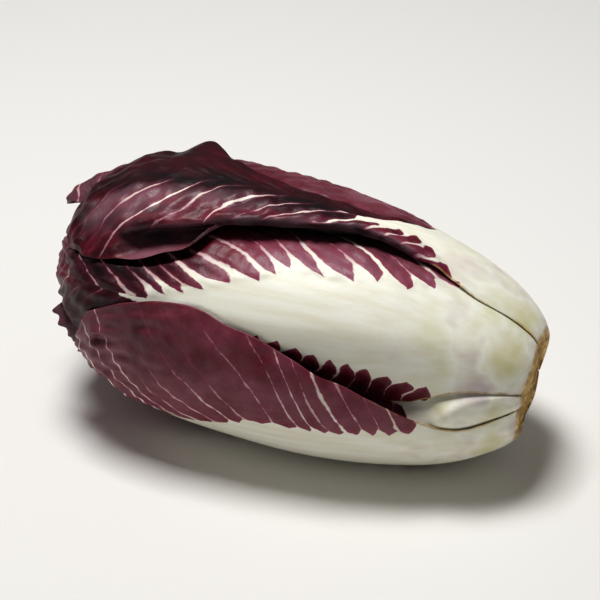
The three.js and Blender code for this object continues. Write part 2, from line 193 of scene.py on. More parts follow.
def take_room(distance, turn, inner):
    for round_row in (np.floor, np.ceil):
        for round_column in (np.floor, np.ceil):
            rows = np.clip(round_row(distance).astype(int), 0, ROOM_ROWS - 1)
            np.maximum.at(room, (rows, round_column(turn).astype(int) % 360), inner + LEAF_GAP)


# %% [markdown]
# ## The leaves
# Each leaf has a table: at a distance from the stem, the turn of one margin, of its rib and of
# the other margin, and how deep each of them lies. Beside it stands what gives the leaf its
# drawing: how far the white of the rib reaches to each side, and where along the rib the side
# veins start. Real veins are never evenly spaced, so their starts are written out one by one.
# Distances are in millimetres, turns in degrees from the top towards the front, and a pair is
# for the side of the smaller turns and for the other side.
#
# - rows, columns, rib_end: the grid, and where the thick rib has run out
# - shape, curve: the table, and how the leaf falls off from its rib to each margin
# - tip_round, wave, wave_length: the round of the tip and the waves of the margins
# - swells: place, height and size of a bulge
# - white, thin_rib: the edge of the white near the stem, and half the rib further on
# - feet, slant, bend, curl: where side veins start, how they lean and how they curve back
# - lobe, point, lobes_end: length and shape of the red lobes, and where they give out
# - vein, fade, strength, clear: half width and length of veins, their share, a bare strip
# - tone, painted_sheen, sheen, streaks, pucker: light in the red, grey painted sheen, and how quilted it is
# - tones, painted_sheen_spots: patches of lighter and of darker red, some of them painted shade,
#   and patches of painted sheen, each with its place and size

# %% Write down what most leaves share
BOTH_SLANTS = [(40, 0.7), (160, 1.0)]
PLAIN_LEAF = dict(
    curve=(1.6, 1.6), swells=[], slant_low=BOTH_SLANTS, slant_high=BOTH_SLANTS, bend=[(0, 0.5)],
    curl=3, lobe=(5, 5), point=(2, 2), clear=(0, 0), streaks=0.0, tones=[], painted_sheen_spots=[])
FAR_SIDE_LEAF = dict(
    PLAIN_LEAF, rows=120, columns=80, vein=(0.28, 0.28), fade=(15, 15),
    thin_rib=[(0, 0.8), (120, 0.6), (170, 0)], lobes_end=(90, 130),
    strength=[(40, 1.0), (120, 0.7), (180, 0.4)], tone=(0.44, 0.44), painted_sheen=(0.15, 0.15),
    pucker=(1.2, 1.2), sheen=(0.3, 0.3))
CROWN_FEET = [34, 41, 49, 56, 64, 73, 81, 90, 98, 107, 116, 126, 136, 147, 158, 169]
BACK_FEET = [30, 38, 46, 54, 62, 71, 80, 89, 98, 108, 118, 129, 140, 152, 164]
UNDER_FEET = [34, 42, 50, 58, 66, 75, 84, 93, 103, 113, 124, 135, 147, 160]
WEDGE_FEET = [40, 47, 54, 62, 70, 78, 87, 96, 106, 116, 127, 138, 150, 162]
print("settings that most leaves share:", len(PLAIN_LEAF))

# %% Write down the outer leaves, from the outermost in
LEAVES = {
    "leaf_top": dict(
        PLAIN_LEAF, rows=210, columns=150, rib_end=150, tip_round=8, wave=0.4, wave_length=34,
        shape=[
            (1, -37, -12, 12, 1, 0, 1), (15, -36, -11, 14, 1, 0, 1),
            (30, -33, -10, 16, 1, 0, 1), (46, -27, -9, 10.5, 1, 0, 1),
            (57, -22, -9, 11, 0.8, 0, 1.5), (66, -14, -6, 12.5, 0.6, 0, 3),
            (81, -7, 0, 13, 0.4, 0.3, 3.5), (105, -8, 0, 25, 0.3, 0.5, 3),
            (118, -12, 0, 33, 0, 0.5, 2), (128, -17, 1, 38, -0.8, 0.5, 1.5),
            (142, -30, 4, 48, -5, 0.3, 1.5), (152, -31, 6, 52, -0.8, 0.3, 1.5),
            (161, -34, 7, 55, -2, 0.3, 1.5), (172, -28, 12, 56, -0.3, 0.5, 1.5),
            (184, -12, 20, 53, 0.8, 0.6, 1.5), (195, 0, 26, 46, 1.5, 0.8, 2)],
        swells=[(95, 12, 1.5, 30, 7), (141, -30, 0.8, 5, 6)],
        white_low=[(2, -70), (48, -50), (54.7, -21.5), (62, -12), (71.2, -4), (79.3, 0)],
        white_high=[(2, 60), (34, 26), (38.1, 9.5), (44.5, 4.5), (52, -1.5), (58.4, -5),
                    (65.4, -3.5), (75.1, -1), (79.3, 0.5)],
        feet_low=[38, 45, 52, 60, 68, 76, 84.5, 91.5, 98.6, 105, 113.5, 122.4, 132, 140.5, 149, 157,
                  165, 173],
        feet_high=[31, 41, 48.5, 55, 61.5, 68, 75, 84, 93, 103.5, 117, 127, 141, 152, 166, 178],
        slant_low=[(40, 1.2), (180, 1.2)], slant_high=[(40, 1.1), (80, 0.9), (105, 0.5), (180, 0.45)],
        bend=[(78, 0.5), (92, 5), (108, 12), (180, 14)], curl=7, lobe=(0.1, 3), point=(2, 1.6),
        vein=(0.0, 0.75), fade=(2, 22), thin_rib=[(0, -1), (200, -1)],
        lobes_end=(74, 92), strength=[(40, 1.0), (150, 1.0), (185, 0.3)], clear=(14, 11),
        tone=(0.22, 0.37), painted_sheen=(-0.4, -0.15), pucker=(0.5, 2.0), streaks=0.09, sheen=(0, 0.85),
        tones=[(145, 20, 22, 9, 0.12), (108, 4, 30, 6, -0.2), (150, 7, 30, 6, -0.18),
               (170, 38, 14, 14, -0.1), (100, -8, 50, 4, 0.12), (58, 8, 22, 12, 0.14)],
        painted_sheen_spots=[(152, 20, 18, 13, 0.5), (125, 14, 18, 6, 0.25), (168, 30, 10, 12, 0.3)]),
    "leaf_crown": dict(
        PLAIN_LEAF, rows=170, columns=120, rib_end=150, tip_round=12, wave=1, wave_length=32,
        shape=[
            (1.2, -111, -74, -38, 1, 0, 1), (20, -113, -74, -34, 1.2, 0, 1),
            (40, -117, -72, -26, 1, 0, 1.2), (55, -121, -70, -12, 0.8, 0, 1.8),
            (75, -124, -68, 4, 0.6, 0, 2), (100, -126, -64, 10, 0.5, 0, 2),
            (130, -124, -58, 8, 0.5, 0, 2), (155, -116, -50, 6, 0.6, 0.3, 2),
            (174, -104, -42, 8, 1, -0.8, 1), (186, -88, -34, 8, 0, -4, 0),
            (197, -72, -30, 6, -1, -6.5, -4)],
        white_low=[(2, -130), (34, -118), (40, -104), (60, -96), (90, -82), (120, -68), (140, -58)],
        white_high=[(2, 0), (50, 0), (54, -30), (68, -48), (90, -52), (120, -54), (140, -54)],
        feet_low=CROWN_FEET, feet_high=CROWN_FEET,
        slant_low=[(40, 0.8), (180, 1.0)], slant_high=[(40, 0.8), (180, 1.0)],
        bend=[(0, 1)], lobe=(6, 6), vein=(0.5, 0.5), fade=(14, 16),
        thin_rib=[(0, 0.8), (120, 0.6), (170, 0)],
        lobes_end=(80, 130), strength=[(40, 1.0), (90, 0.8), (190, 0.4)],
        tone=(0.44, 0.48), painted_sheen=(0.1, 0.25), pucker=(1.3, 1.3), streaks=0.05, sheen=(0.3, 0.2),
        tones=[(192, -30, 12, 40, -0.12)], painted_sheen_spots=[(192, -30, 14, 50, 0.12)]),
    "leaf_lower": dict(
        PLAIN_LEAF, rows=190, columns=150, rib_end=150, tip_round=7, wave=0.5, wave_length=30,
        shape=[
            (1, 85, 115, 141, 1, 0, 1), (11, 90.5, 117, 143, 1, 0, 1),
            (24, 97, 119, 153, 1, 0, 1), (40, 91.5, 122, 172, 0.8, 0, 0),
            (55, 83.5, 126, 190, 0.6, 0, 0), (85, 73, 132, 207, 0.5, 0, 0),
            (110, 65, 138, 210, 0.5, 0, 0), (130, 64, 143, 205, 0.6, 0, 0),
            (146, 71, 145, 192, 0.8, 0, 0.5), (158, 80, 134, 172, 1, 0.5, 1),
            (169, 90, 122, 152, 1.5, 1, 1.5)],
        white_low=[(2, 70), (32, 88), (39.7, 100), (43.9, 102.5), (55.2, 104.5), (66.5, 106.5),
                   (84.1, 108.5), (94.3, 110.5), (102.9, 116.5), (122.1, 131), (140, 143)],
        white_high=[(2, 165), (30, 160), (40, 150), (66, 152), (95, 155), (120, 151), (140, 146)],
        feet_low=[32, 37.5, 44.2, 50, 55.5, 61, 66.8, 71.5, 76.5, 85.4, 95.5, 101, 108.7, 116, 123,
                  133, 144, 155, 166],
        feet_high=[32, 39, 47, 55, 63, 71, 79, 87, 95, 103, 111, 119, 127, 135, 144, 155, 166],
        slant_low=[(30, 0.5), (60, 0.5), (110, 0.75), (160, 0.95)],
        slant_high=[(40, 0.6), (160, 0.9)], lobe=(3, 4), point=(1.6, 2), vein=(0.4, 0.4),
        fade=(36, 16), thin_rib=[(0, 0.8), (120, 0.6), (160, 0.2)], lobes_end=(90, 125),
        strength=[(40, 0.6), (95, 0.75), (120, 1.0), (150, 1.0), (175, 0.6)],
        tone=(0.54, 0.54), painted_sheen=(0.2, 0.15), pucker=(0.8, 0.8), sheen=(0.35, 0.15),
        tones=[(140, 85, 25, 22, -0.12)], painted_sheen_spots=[(152, 88, 14, 20, 0.2)]),
    "leaf_back": dict(
        FAR_SIDE_LEAF, rib_end=150, tip_round=12, wave=0.9, wave_length=30,
        shape=[
            (1.5, -163, -137, -112, 1, 0, 1), (24, -163, -137, -107, 1.2, 0, 1.5),
            (55, -168, -138, -95, 0.8, 0, 2), (90, -172, -140, -85, 0.8, 0, 2),
            (125, -168, -138, -80, 0.8, 0.3, 2), (150, -160, -132, -84, 1, 0.8, 2),
            (182, -142, -122, -98, 2, 1.2, 2)],
        white_low=[(2, -180), (30, -166), (36, -158), (60, -154), (100, -148), (140, -138)],
        white_high=[(2, -100), (30, -108), (36, -118), (60, -122), (100, -130), (140, -134)],
        feet_low=BACK_FEET, feet_high=BACK_FEET),
    "leaf_under": dict(
        FAR_SIDE_LEAF, rib_end=140, tip_round=10, wave=0.6, wave_length=26,
        shape=[
            (1.5, 142, 169, 196, 1, 0, 1), (24, 143, 172, 200, 1.5, 0, 1.5),
            (55, 135, 175, 212, 2, 0, 2), (90, 126, 178, 218, 2, 1, 2),
            (125, 124, 178, 216, 2, 1, 2), (152, 134, 172, 206, 2, 1, 2),
            (182, 148, 168, 190, 2.5, 1.5, 2.5)],
        white_low=[(2, 120), (34, 142), (42, 152), (70, 158), (100, 164), (140, 172)],
        white_high=[(2, 220), (34, 204), (42, 192), (70, 190), (100, 186), (140, 176)],
        feet_low=UNDER_FEET, feet_high=UNDER_FEET),
    "leaf_front": dict(
        PLAIN_LEAF, rows=200, columns=140, curve=(1.6, 1), rib_end=140, tip_round=9, wave=0.6,
        wave_length=22,
        shape=[
            (1, 13, 41, 68, 1, 0, 1), (14.5, 12, 43, 69, 1.2, 0, 1.2),
            (28, 13, 44.5, 73, 2, 0, 2.5), (42, 6, 47, 86, 3.5, 0, 7),
            (60, -8, 51, 94, 7.5, 0, 11), (90, -6, 58, 94, 13, 0.3, 11),
            (120, 8, 64, 94, 13, 1.5, 8), (147, 26, 68, 102, 10, 2.5, 6),
            (168, 38, 70, 104, 5, 1.5, 3), (196, 48, 76, 100, 2, 1, 2.5)],
        white_low=[(2, -10), (32, 6), (39.7, 19), (49.8, 27.5), (53, 29.5), (62.7, 31), (70.2, 35),
                   (78.2, 38), (93.2, 38.5), (101.8, 46), (112.5, 51.5), (121.1, 59), (136.1, 66),
                   (150, 68.5)],
        white_high=[(2, 110), (22, 92), (29, 77), (36.5, 72.5), (48.2, 72.2), (59.5, 69.5), (76.7, 69),
                    (91.1, 66.5), (103.4, 67), (120, 68), (136, 68.5), (150, 69)],
        feet_low=[33, 41, 49, 59, 66.8, 75, 83, 91.2, 98, 105, 114, 121.9, 128.5, 135.1, 146, 160, 176],
        feet_high=[28, 34.5, 41, 47.8, 55, 62.6, 68.7, 74.5, 80.3, 87, 94, 101, 109, 117, 126,
                   135.1, 142, 149, 157, 165, 174],
        slant_low=[(40, 0.9), (80, 0.85), (105, 1.1), (122, 1.5), (135, 1.9), (180, 1.9)],
        slant_high=[(30, 0.25), (80, 0.35), (180, 1.0)],
        bend=[(0, 0)], lobe=(9, 6), point=(2.0, 3.0), vein=(1.0, 0.25), fade=(20, 12),
        thin_rib=[(0, 0.5), (125, 0.4), (150, -1)], lobes_end=(130, 152),
        strength=[(40, 1.0), (122, 1.0), (140, 0.55), (155, 0.3)],
        tone=(0.7, 0.4), painted_sheen=(0.2, -0.3), pucker=(1.1, 0.6), sheen=(0.9, 0),
        # Both darker tones are painted shade near the top leaf's fold, where the painted sheen is taken
        # away
        tones=[(158, 42, 34, 42, -0.8), (90, 4, 60, 14, -0.4)],
        painted_sheen_spots=[(158, 42, 34, 42, -1.1), (190, 75, 14, 40, 0.3)]),
    "leaf_wedge": dict(
        PLAIN_LEAF, rows=110, columns=60, rib_end=130, tip_round=8, wave=0.6, wave_length=24,
        shape=[
            (1.5, 69, 77, 84, 1, 0, 1), (14, 67, 81, 96, 1.2, 0, 1.2),
            (28, 65, 85, 104, 2, 0, 2), (55, 58, 90, 116, 3, 1.5, 3),
            (90, 52, 92, 122, 3, 2, 3), (125, 58, 92, 118, 3, 2, 3),
            (155, 74, 98, 120, 2, 1, 2), (184, 80, 100, 118, 0, -1, 0)],
        white_low=[(2, 40), (28, 56), (34, 80), (39, 90), (140, 92)],
        white_high=[(2, 130), (33, 118), (38, 102), (44, 91), (140, 94)],
        feet_low=WEDGE_FEET, feet_high=WEDGE_FEET, vein=(0.28, 0.28), fade=(14, 14),
        thin_rib=[(0, 0.6), (160, 0)], lobes_end=(36, 46),
        strength=[(36, 0.5), (50, 0.2), (180, 0.2)], tone=(0.3, 0.3), painted_sheen=(-0.2, 0.0),
        pucker=(1.0, 1.5), sheen=(0, 0.2), painted_sheen_spots=[(176, 98, 18, 30, 0.6)]),
}
print("outer leaves:", len(LEAVES))

# %% Add the inner leaves, of which only the tips show
INNER_SHAPES = {
    "leaf_inner_top": [
        (16, -34, -12, 10, 2, 2, 2), (60, -44, -8, 30, 3, 3, 3), (120, -40, 0, 38, 3, 3, 3),
        (160, -30, 5, 38, 2, 2, 2), (200, -34, 4, 44, 1.5, 1, 1.5)],
    "leaf_inner_front": [
        (16, 16, 40, 64, 3, 3, 3), (60, 8, 45, 80, 3, 3, 3), (120, 20, 52, 84, 3, 3, 3),
        (165, 30, 58, 84, 3, 3, 3), (203, 22, 58, 94, 1.5, 0.5, 1.5)],
    "leaf_inner_back": [
        (16, -140, -112, -84, 2, 2, 2), (60, -150, -110, -70, 3, 3, 3), (120, -146, -106, -66, 3, 3, 3),
        (165, -126, -100, -70, 2, 2, 2), (201, -132, -94, -54, 1.5, 0.8, 1.5)],
    "leaf_inner_under": [
        (16, 150, 180, 208, 2, 2, 2), (60, 140, 182, 224, 3, 3, 3), (120, 142, 180, 220, 3, 3, 3),
        (165, 148, 178, 208, 2, 2, 2), (200, 142, 178, 214, 1.5, 0.8, 1.5)],
}
INNER_FEET = list(range(30, 210, 8))
INNER_WHITE = [(2, 60), (60, 20), (110, 4), (130, 0)]  # distance, and half the white in degrees
for name, shape in INNER_SHAPES.items():
    middle = shape[2][2]
    LEAVES[name] = dict(
        PLAIN_LEAF, rows=150, columns=70, rib_end=120, tip_round=9, wave=0.6, wave_length=23,
        shape=shape,
        white_low=[(stop, middle - half) for stop, half in INNER_WHITE],
        white_high=[(stop, middle + half) for stop, half in INNER_WHITE],
        feet_low=INNER_FEET, feet_high=INNER_FEET,
        slant_low=[(40, 0.8), (200, 1.0)], slant_high=[(40, 0.8), (200, 1.0)],
        bend=[(0, 1)], lobe=(4, 4), vein=(0.25, 0.25), fade=(8, 8), thin_rib=[(0, 0.4), (150, -1)],
        lobes_end=(60, 100), strength=[(40, 0.8), (120, 0.5), (200, 0.15)],
        tone=(0.36, 0.36), painted_sheen=(0.3, 0.3), pucker=(2.2, 2.2), sheen=(0.7, 0.7))
print("leaves in all:", len(LEAVES))

# %% [markdown]
# ## From a table to a leaf
# Between the rows of a table the values follow a smooth curve. The grid of a leaf is then bent:
# its rows crowd towards the tip, its tip is rounded and its margins wave. Small unevenness is a
# sum of a few sine waves in random directions, which is quick to work out and stays smooth.

# %% Read a table at any distance
ROW_CROWDING = 1.25
CREST_ROUND = 0.2  # softens the crease of a leaf that falls off straight from its rib
ROUND_FROM = 0.5
WAVE_START, WAVE_FULL = 30, 90
WAVE_SKEW = 2  # the waves of the two margins don't face each other
TIP_SLOPE = 0.3
random = np.random.default_rng(7)


def smooth_step(start, end, value):
    part = np.clip((value - start) / (end - start), 0, 1)
    return part * part * (3 - 2 * part)


def along_table(table, distance):
    table = np.array(table, float)
    stops = table[:, 0]
    place = np.clip(distance, stops[0], stops[-1])
    row = np.clip(np.searchsorted(stops, place, side="left") - 1, 0, len(stops) - 2)
    start, end = table[row], table[row + 1]
    before, after = table[np.maximum(row - 1, 0)], table[np.minimum(row + 2, len(stops) - 1)]
    span = (end[..., :1] - start[..., :1])
    t = (place[..., None] - start[..., :1]) / span
    start_slope = (end - before) / (end[..., :1] - before[..., :1]) * span
    end_slope = (after - start) / (after[..., :1] - start[..., :1]) * span
    cubic = 2 * start - 2 * end + start_slope + end_slope
    square = -3 * start + 3 * end - 2 * start_slope - end_slope
    return np.moveaxis(((cubic * t + square) * t + start_slope) * t + start, -1, 0)


def unevenness(distance, across_mm, size, waves=9):
    """A smooth random surface of waves about size millimetres long, between -1 and 1."""
    total = np.zeros_like(distance)
    for _ in range(waves):
        heading = random.uniform(0, 2 * np.pi)
        pace = 2 * np.pi / (size * random.uniform(0.7, 1.5))
        phase = random.uniform(0, 2 * np.pi)
        total += np.sin(pace * (distance * np.cos(heading) + across_mm * np.sin(heading)) + phase)
    return total / waves ** 0.5 / 1.5


print("a smooth step from 0 to 10, read at 2.5:", smooth_step(0, 10, 2.5))


# %% Lay out the grid of a leaf
def leaf_grid(leaf):
    along = np.linspace(0, 1, leaf["rows"] + 1)[:, None]
    across = np.linspace(-1, 1, leaf["columns"] + 1)[None, :]
    start, tip = leaf["shape"][0][0], leaf["shape"][-1][0]
    rounding = leaf["tip_round"] * across ** 2 * smooth_step(ROUND_FROM, 1, along)
    distance = start + (tip - start) * (1 - (1 - along) ** ROW_CROWDING) - rounding
    _, low, rib, high, low_depth, rib_depth, high_depth = along_table(leaf["shape"], distance)
    side = np.abs(across)
    margin = np.where(across < 0, low, high)
    margin_depth = np.where(across < 0, low_depth, high_depth)
    ripple = np.sin(distance / leaf["wave_length"] * 2 * np.pi + WAVE_SKEW * across)
    rippling = leaf["wave"] * side ** 3 * smooth_step(WAVE_START, WAVE_FULL, distance) * ripple
    radius = outline_at(distance)[1]
    turn = rib + (margin - rib) * side + rippling
    low_curve, high_curve = leaf["curve"]
    rounded = np.sqrt(side ** 2 + CREST_ROUND ** 2) - CREST_ROUND
    rounded = rounded / (np.sqrt(1 + CREST_ROUND ** 2) - CREST_ROUND)
    sag = np.where(across < 0, side ** low_curve, side ** high_curve if high_curve > 1 else rounded)
    depth = rib_depth + (margin_depth - rib_depth) * sag - rippling
    for swell_distance, swell_turn, height, half_length, half_turn in leaf["swells"]:
        off_length = (distance - swell_distance) / half_length
        depth -= height * np.exp(-off_length ** 2 - ((turn - swell_turn) / half_turn) ** 2)
    to_margin = np.abs(margin - rib) * DEGREE * radius * (1 - side)
    to_tip = (tip - distance) + TIP_SLOPE * to_margin
    return dict(
        along=along + 0 * distance, across=across + 0 * distance, distance=distance, turn=turn,
        depth=depth, rib=rib, high=high, radius=radius,
        margin=np.minimum(to_margin, np.maximum(to_tip, 0)),
        offset=(turn - rib) * DEGREE * radius)


print("points of the top leaf:", leaf_grid(LEAVES["leaf_top"])["depth"].shape)

# %% [markdown]
# ## The drawing of the veins
# On a real leaf the red skin starts in rounded lobes along the white rib, and each white side
# vein runs out between two of them, wide at its foot and thin at its end. Two smooth numbers
# carry this: how far a place is from the white of the rib, and a count of veins along it that
# is a whole number exactly on a vein. Both stay smooth, so the paint can be sharper than the grid.

# %% Read a line of points, sharp or softened
HALF_WINDOW = 40
TABLE_STEP = 0.5  # mm
FOOT_LINE_BLUR = 14.0  # mm; the feet of the veins don't follow every lobe


def read_line(value, points):
    return np.interp(value, *np.array(points, float).T)


def bell(spread):
    """The weights of a blur, which add up to 1."""
    weights = np.exp(-0.5 * (np.arange(-HALF_WINDOW, HALF_WINDOW + 1) / spread) ** 2)
    return weights / weights.sum()


def soft_table(value, stops, heights, blur):
    """Reads a table whose corners are rounded over the blur, in millimetres."""
    places = np.arange(-60.0, 280.0, TABLE_STEP)
    line = np.interp(places, stops, heights)
    line = np.pad(line, HALF_WINDOW, mode="reflect", reflect_type="odd")
    return np.interp(value, places, np.convolve(line, bell(blur / TABLE_STEP), mode="valid"))


print("a corner of height 0, softened:", soft_table(50.0, [0, 50, 100], [50, 0, 50], 5).round(2))


# %% Measure how far a place is from the white
def away_from_white(leaf, grid, scale):
    """Millimetres from the white of the rib, below zero inside it."""
    distance, turn, rib = grid["distance"], grid["turn"], grid["rib"]
    past_white = distance > max(leaf["white_low"][-1][0], leaf["white_high"][-1][0])
    low_edge = np.minimum(read_line(distance, leaf["white_low"]), rib)
    high_edge = np.maximum(read_line(distance, leaf["white_high"]), rib)
    away = np.where(grid["across"] < 0, low_edge - turn, turn - high_edge) * scale
    beside_rib = np.abs(grid["offset"]) - read_line(distance, leaf["thin_rib"])
    return np.where(past_white, beside_rib, np.minimum(away, beside_rib))


def outside_foot_lines(leaf, grid, scale):
    """Millimetres outside the softened edges of the white, for the low and the high side."""
    stops = np.arange(0.0, 220.0)
    outward = []
    for sign, key in ((-1, "white_low"), (1, "white_high")):
        line = np.pad(read_line(stops, leaf[key]), HALF_WINDOW, mode="edge")
        line = np.convolve(line, bell(FOOT_LINE_BLUR), mode="valid")
        off = grid["turn"] - np.interp(grid["distance"], stops, line)
        outward.append(np.maximum(sign * off * scale, 0))
    return outward


# %% Count the veins
FOOT_ROUNDS = 30  # a slant is read at the foot of a vein, which is found step by step
BEFORE_FIRST = 7 * np.arange(-12, 0)  # mm; veins go on at even steps past those written down
AFTER_LAST = 8 * np.arange(1, 13)
LINE_BLUR, GAP_BLUR, COUNT_BLUR = 5, 3, 2  # mm
FAINTEST_VEIN = 0.1
VEIN_WANDER, WANDER_LENGTH = 0.3, 42  # of the space between two veins, and mm
NARROWEST = 0.05  # mm
SPARE = 20  # veins on either side that the chances allow for


def count_veins(leaf, side, distance, outward, wander):
    """The number of the vein at a place and the space between two veins, in mm."""
    feet = np.array(leaf[("feet_low", "feet_high")[side]], float)
    feet = np.concatenate([feet[0] + BEFORE_FIRST, feet, feet[-1] + AFTER_LAST])
    slants = np.array(leaf[("slant_low", "slant_high")[side]], float).T
    curl = soft_table(distance, *np.array(leaf["bend"], float).T, LINE_BLUR)
    start = distance - curl * (1 - np.exp(-outward / leaf["curl"]))
    foot = start
    for _ in range(FOOT_ROUNDS):
        slant = soft_table(foot, *slants, LINE_BLUR)
        foot = start - slant * outward
    count = soft_table(foot, feet, np.arange(len(feet)) - len(BEFORE_FIRST), COUNT_BLUR)
    count += wander * smooth_step(0, 6, outward)
    gap = soft_table(foot, feet, np.gradient(feet), GAP_BLUR) / np.sqrt(1 + slant ** 2)
    return count, gap, len(feet)


def side_veins(leaf, side, distance, outward, beyond, wander):
    """Count, space, half width and strength of the veins of one side, and the quilt between."""
    count, gap, veins = count_veins(leaf, side, distance, outward, wander)
    # Every vein has its own strength and every lobe its own length
    chances = veins + 3 * SPARE
    chance = np.random.default_rng(veins + side).uniform(0, 1, (3, chances))
    nearest = np.clip(np.round(count) + SPARE, 0, chances - 1).astype(int)
    cell = np.clip(np.floor(count) + SPARE, 0, chances - 1).astype(int)
    longer = 0.5 + np.interp(count + SPARE, np.arange(chances), chance[0])
    lobe = np.clip(1 - beyond / (leaf["lobe"][side] * longer), 0, 1) ** leaf["point"][side]
    near_stem = 1 - smooth_step(*leaf["lobes_end"], distance)
    reach = leaf["fade"][side] * (0.5 + chance[1][nearest])
    fade = FAINTEST_VEIN + (1 - FAINTEST_VEIN) * np.exp(-(beyond / reach) ** 1.5)
    fade = fade * read_line(distance, leaf["strength"]) * (0.45 + 0.55 * chance[2][nearest])
    if leaf["clear"][side]:
        fade = fade * (1 - (1 - smooth_step(0, leaf["clear"][side], beyond)) * (1 - near_stem))
    width = gap * 0.5 * lobe * near_stem + leaf["vein"][side] * fade + NARROWEST
    shown = near_stem * np.minimum(lobe * 5, 1)
    if leaf["vein"][side]:
        shown = np.maximum(fade, shown)
    between = np.sin(np.pi * (count - np.floor(count))) * (0.4 + 0.6 * chance[2][cell])
    return count, gap, width, shown, between


def vein_drawing(leaf, grid):
    scale = DEGREE * grid["radius"]
    away = away_from_white(leaf, grid, scale)
    wander = VEIN_WANDER * unevenness(grid["distance"], grid["turn"] * scale, WANDER_LENGTH)
    sides = [side_veins(leaf, side, grid["distance"], outward, np.maximum(away, 0), wander)
             for side, outward in enumerate(outside_foot_lines(leaf, grid, scale))]
    drawing = {"away": away}
    for key, low, high in zip(("count", "gap", "width", "fade", "between"), *sides):
        drawing[key] = np.where(grid["across"] < 0, low, high)
    return drawing


front_leaf = LEAVES["leaf_front"]
print("side veins of the front leaf:", len(front_leaf["feet_low"]), len(front_leaf["feet_high"]))

# %% [markdown]
# ## Relief
# A radicchio leaf isn't a smooth sheet. Its veins stand up as cords, the skin between them is
# puckered like a quilt, and towards the tip it crinkles. All of this is a small height added to
# the outer face. Where another leaf covers the place, the height is held under the free room.

# %% Raise the veins and pucker the skin
VEIN_HEIGHT = 0.35
VEIN_ROUND = 0.7
PUCKER = 0.55
CRINKLE = 0.6
FINE_WAVES, BROAD_WAVES = 6, 14
TIP_FOLD_STRETCH = 0.55
BLADE_THICKNESS = 0.8
MARGIN_THICKNESS = 0.25
MARGIN_TAPER = 9
RIB_THICKNESS = 4.6
RIB_WIDE, RIB_NARROW = 8.5, 3  # half widths at the stem and where the rib has run out


def two_sided(pair, grid):
    """A value for each side of the rib, blended over the first millimetres past it."""
    return pair[0] + (pair[1] - pair[0]) * smooth_step(0, 11, grid["offset"])


def relief(leaf, grid, drawing):
    distance, across_mm = grid["distance"], grid["turn"] * DEGREE * grid["radius"]
    to_vein = np.abs(drawing["count"] - np.round(drawing["count"])) * drawing["gap"]
    cord = VEIN_HEIGHT * np.exp(-(to_vein / VEIN_ROUND) ** 2) * drawing["fade"]
    pucker = two_sided(leaf["pucker"], grid)
    rough = unevenness(distance, across_mm, FINE_WAVES) + unevenness(distance, across_mm, BROAD_WAVES)
    rough = 0.5 * rough
    quilt = PUCKER * pucker * drawing["between"] * (0.7 + 0.6 * rough)
    tip = smooth_step(0.55, 0.95, grid["along"])
    folds = unevenness(distance * TIP_FOLD_STRETCH, across_mm, FINE_WAVES)
    crumple = CRINKLE * (rough * 0.6 * pucker + 1.5 * tip * folds)
    blade = smooth_step(0, 4, drawing["away"]) * smooth_step(0, 3, grid["margin"])
    return blade * (cord + quilt + crumple)


def leaf_thickness(leaf, grid):
    reach = np.clip(grid["distance"] / leaf["rib_end"], 0, 1)
    half_width = RIB_WIDE + (RIB_NARROW - RIB_WIDE) * reach
    fullness = (1 - reach) ** 1.2 * np.exp(-(grid["offset"] / half_width) ** 2)
    thin = 1 - smooth_step(0, MARGIN_TAPER, grid["margin"])
    blade = BLADE_THICKNESS - (BLADE_THICKNESS - MARGIN_THICKNESS) * thin
    return blade + (RIB_THICKNESS - BLADE_THICKNESS) * fullness * (1 - thin)


print("a leaf is", MARGIN_THICKNESS, "to", RIB_THICKNESS, "mm thick")

# %% [markdown]
# ## Meshes
# A leaf becomes one closed mesh: a grid for the outer face, one for the inner face and a strip
# round the rim. The numbers of the drawing ride on its points as attributes, where a material
# can read them. A flat layout of the faces is stored too, so that the paint can be baked.

# %% Build a piece from points and faces
FLAT_WIDTH, FLAT_BACK = 0.48, 0.52  # the front of a leaf in one half of the flat layout
RIM_LEFT, RIM_RIGHT = 0.485, 0.515


def add_piece(name, points, faces, attributes):
    """A smooth mesh, with one or three numbers a point stored as attributes."""
    mesh = bpy.data.meshes.new(name)
    mesh.from_pydata(points.reshape(-1, 3).tolist(), [], faces)
    for key, values in attributes.items():
        kind, field = ("FLOAT", "value") if values.ndim == 1 else ("FLOAT_VECTOR", "vector")
        numbers = values.astype(np.float32).ravel()
        mesh.attributes.new(key, kind, "POINT").data.foreach_set(field, numbers)
    mesh.polygons.foreach_set("use_smooth", np.ones(len(faces), bool))
    mesh.update()
    piece = bpy.data.objects.new(name, mesh)
    bpy.context.collection.objects.link(piece)
    return piece


def turned_faces(rows, sides):
    """The rows of points round an axis, the points beside them, and the faces between."""
    index = np.arange(rows * sides).reshape(rows, sides)
    ahead = np.roll(index, -1, axis=1)
    faces = np.stack([index[:-1], index[1:], ahead[1:], ahead[:-1]], -1)
    return index, ahead, faces.reshape(-1, 4).tolist()


print("a ring of 3 by 4 points has faces:", len(turned_faces(3, 4)[2]))


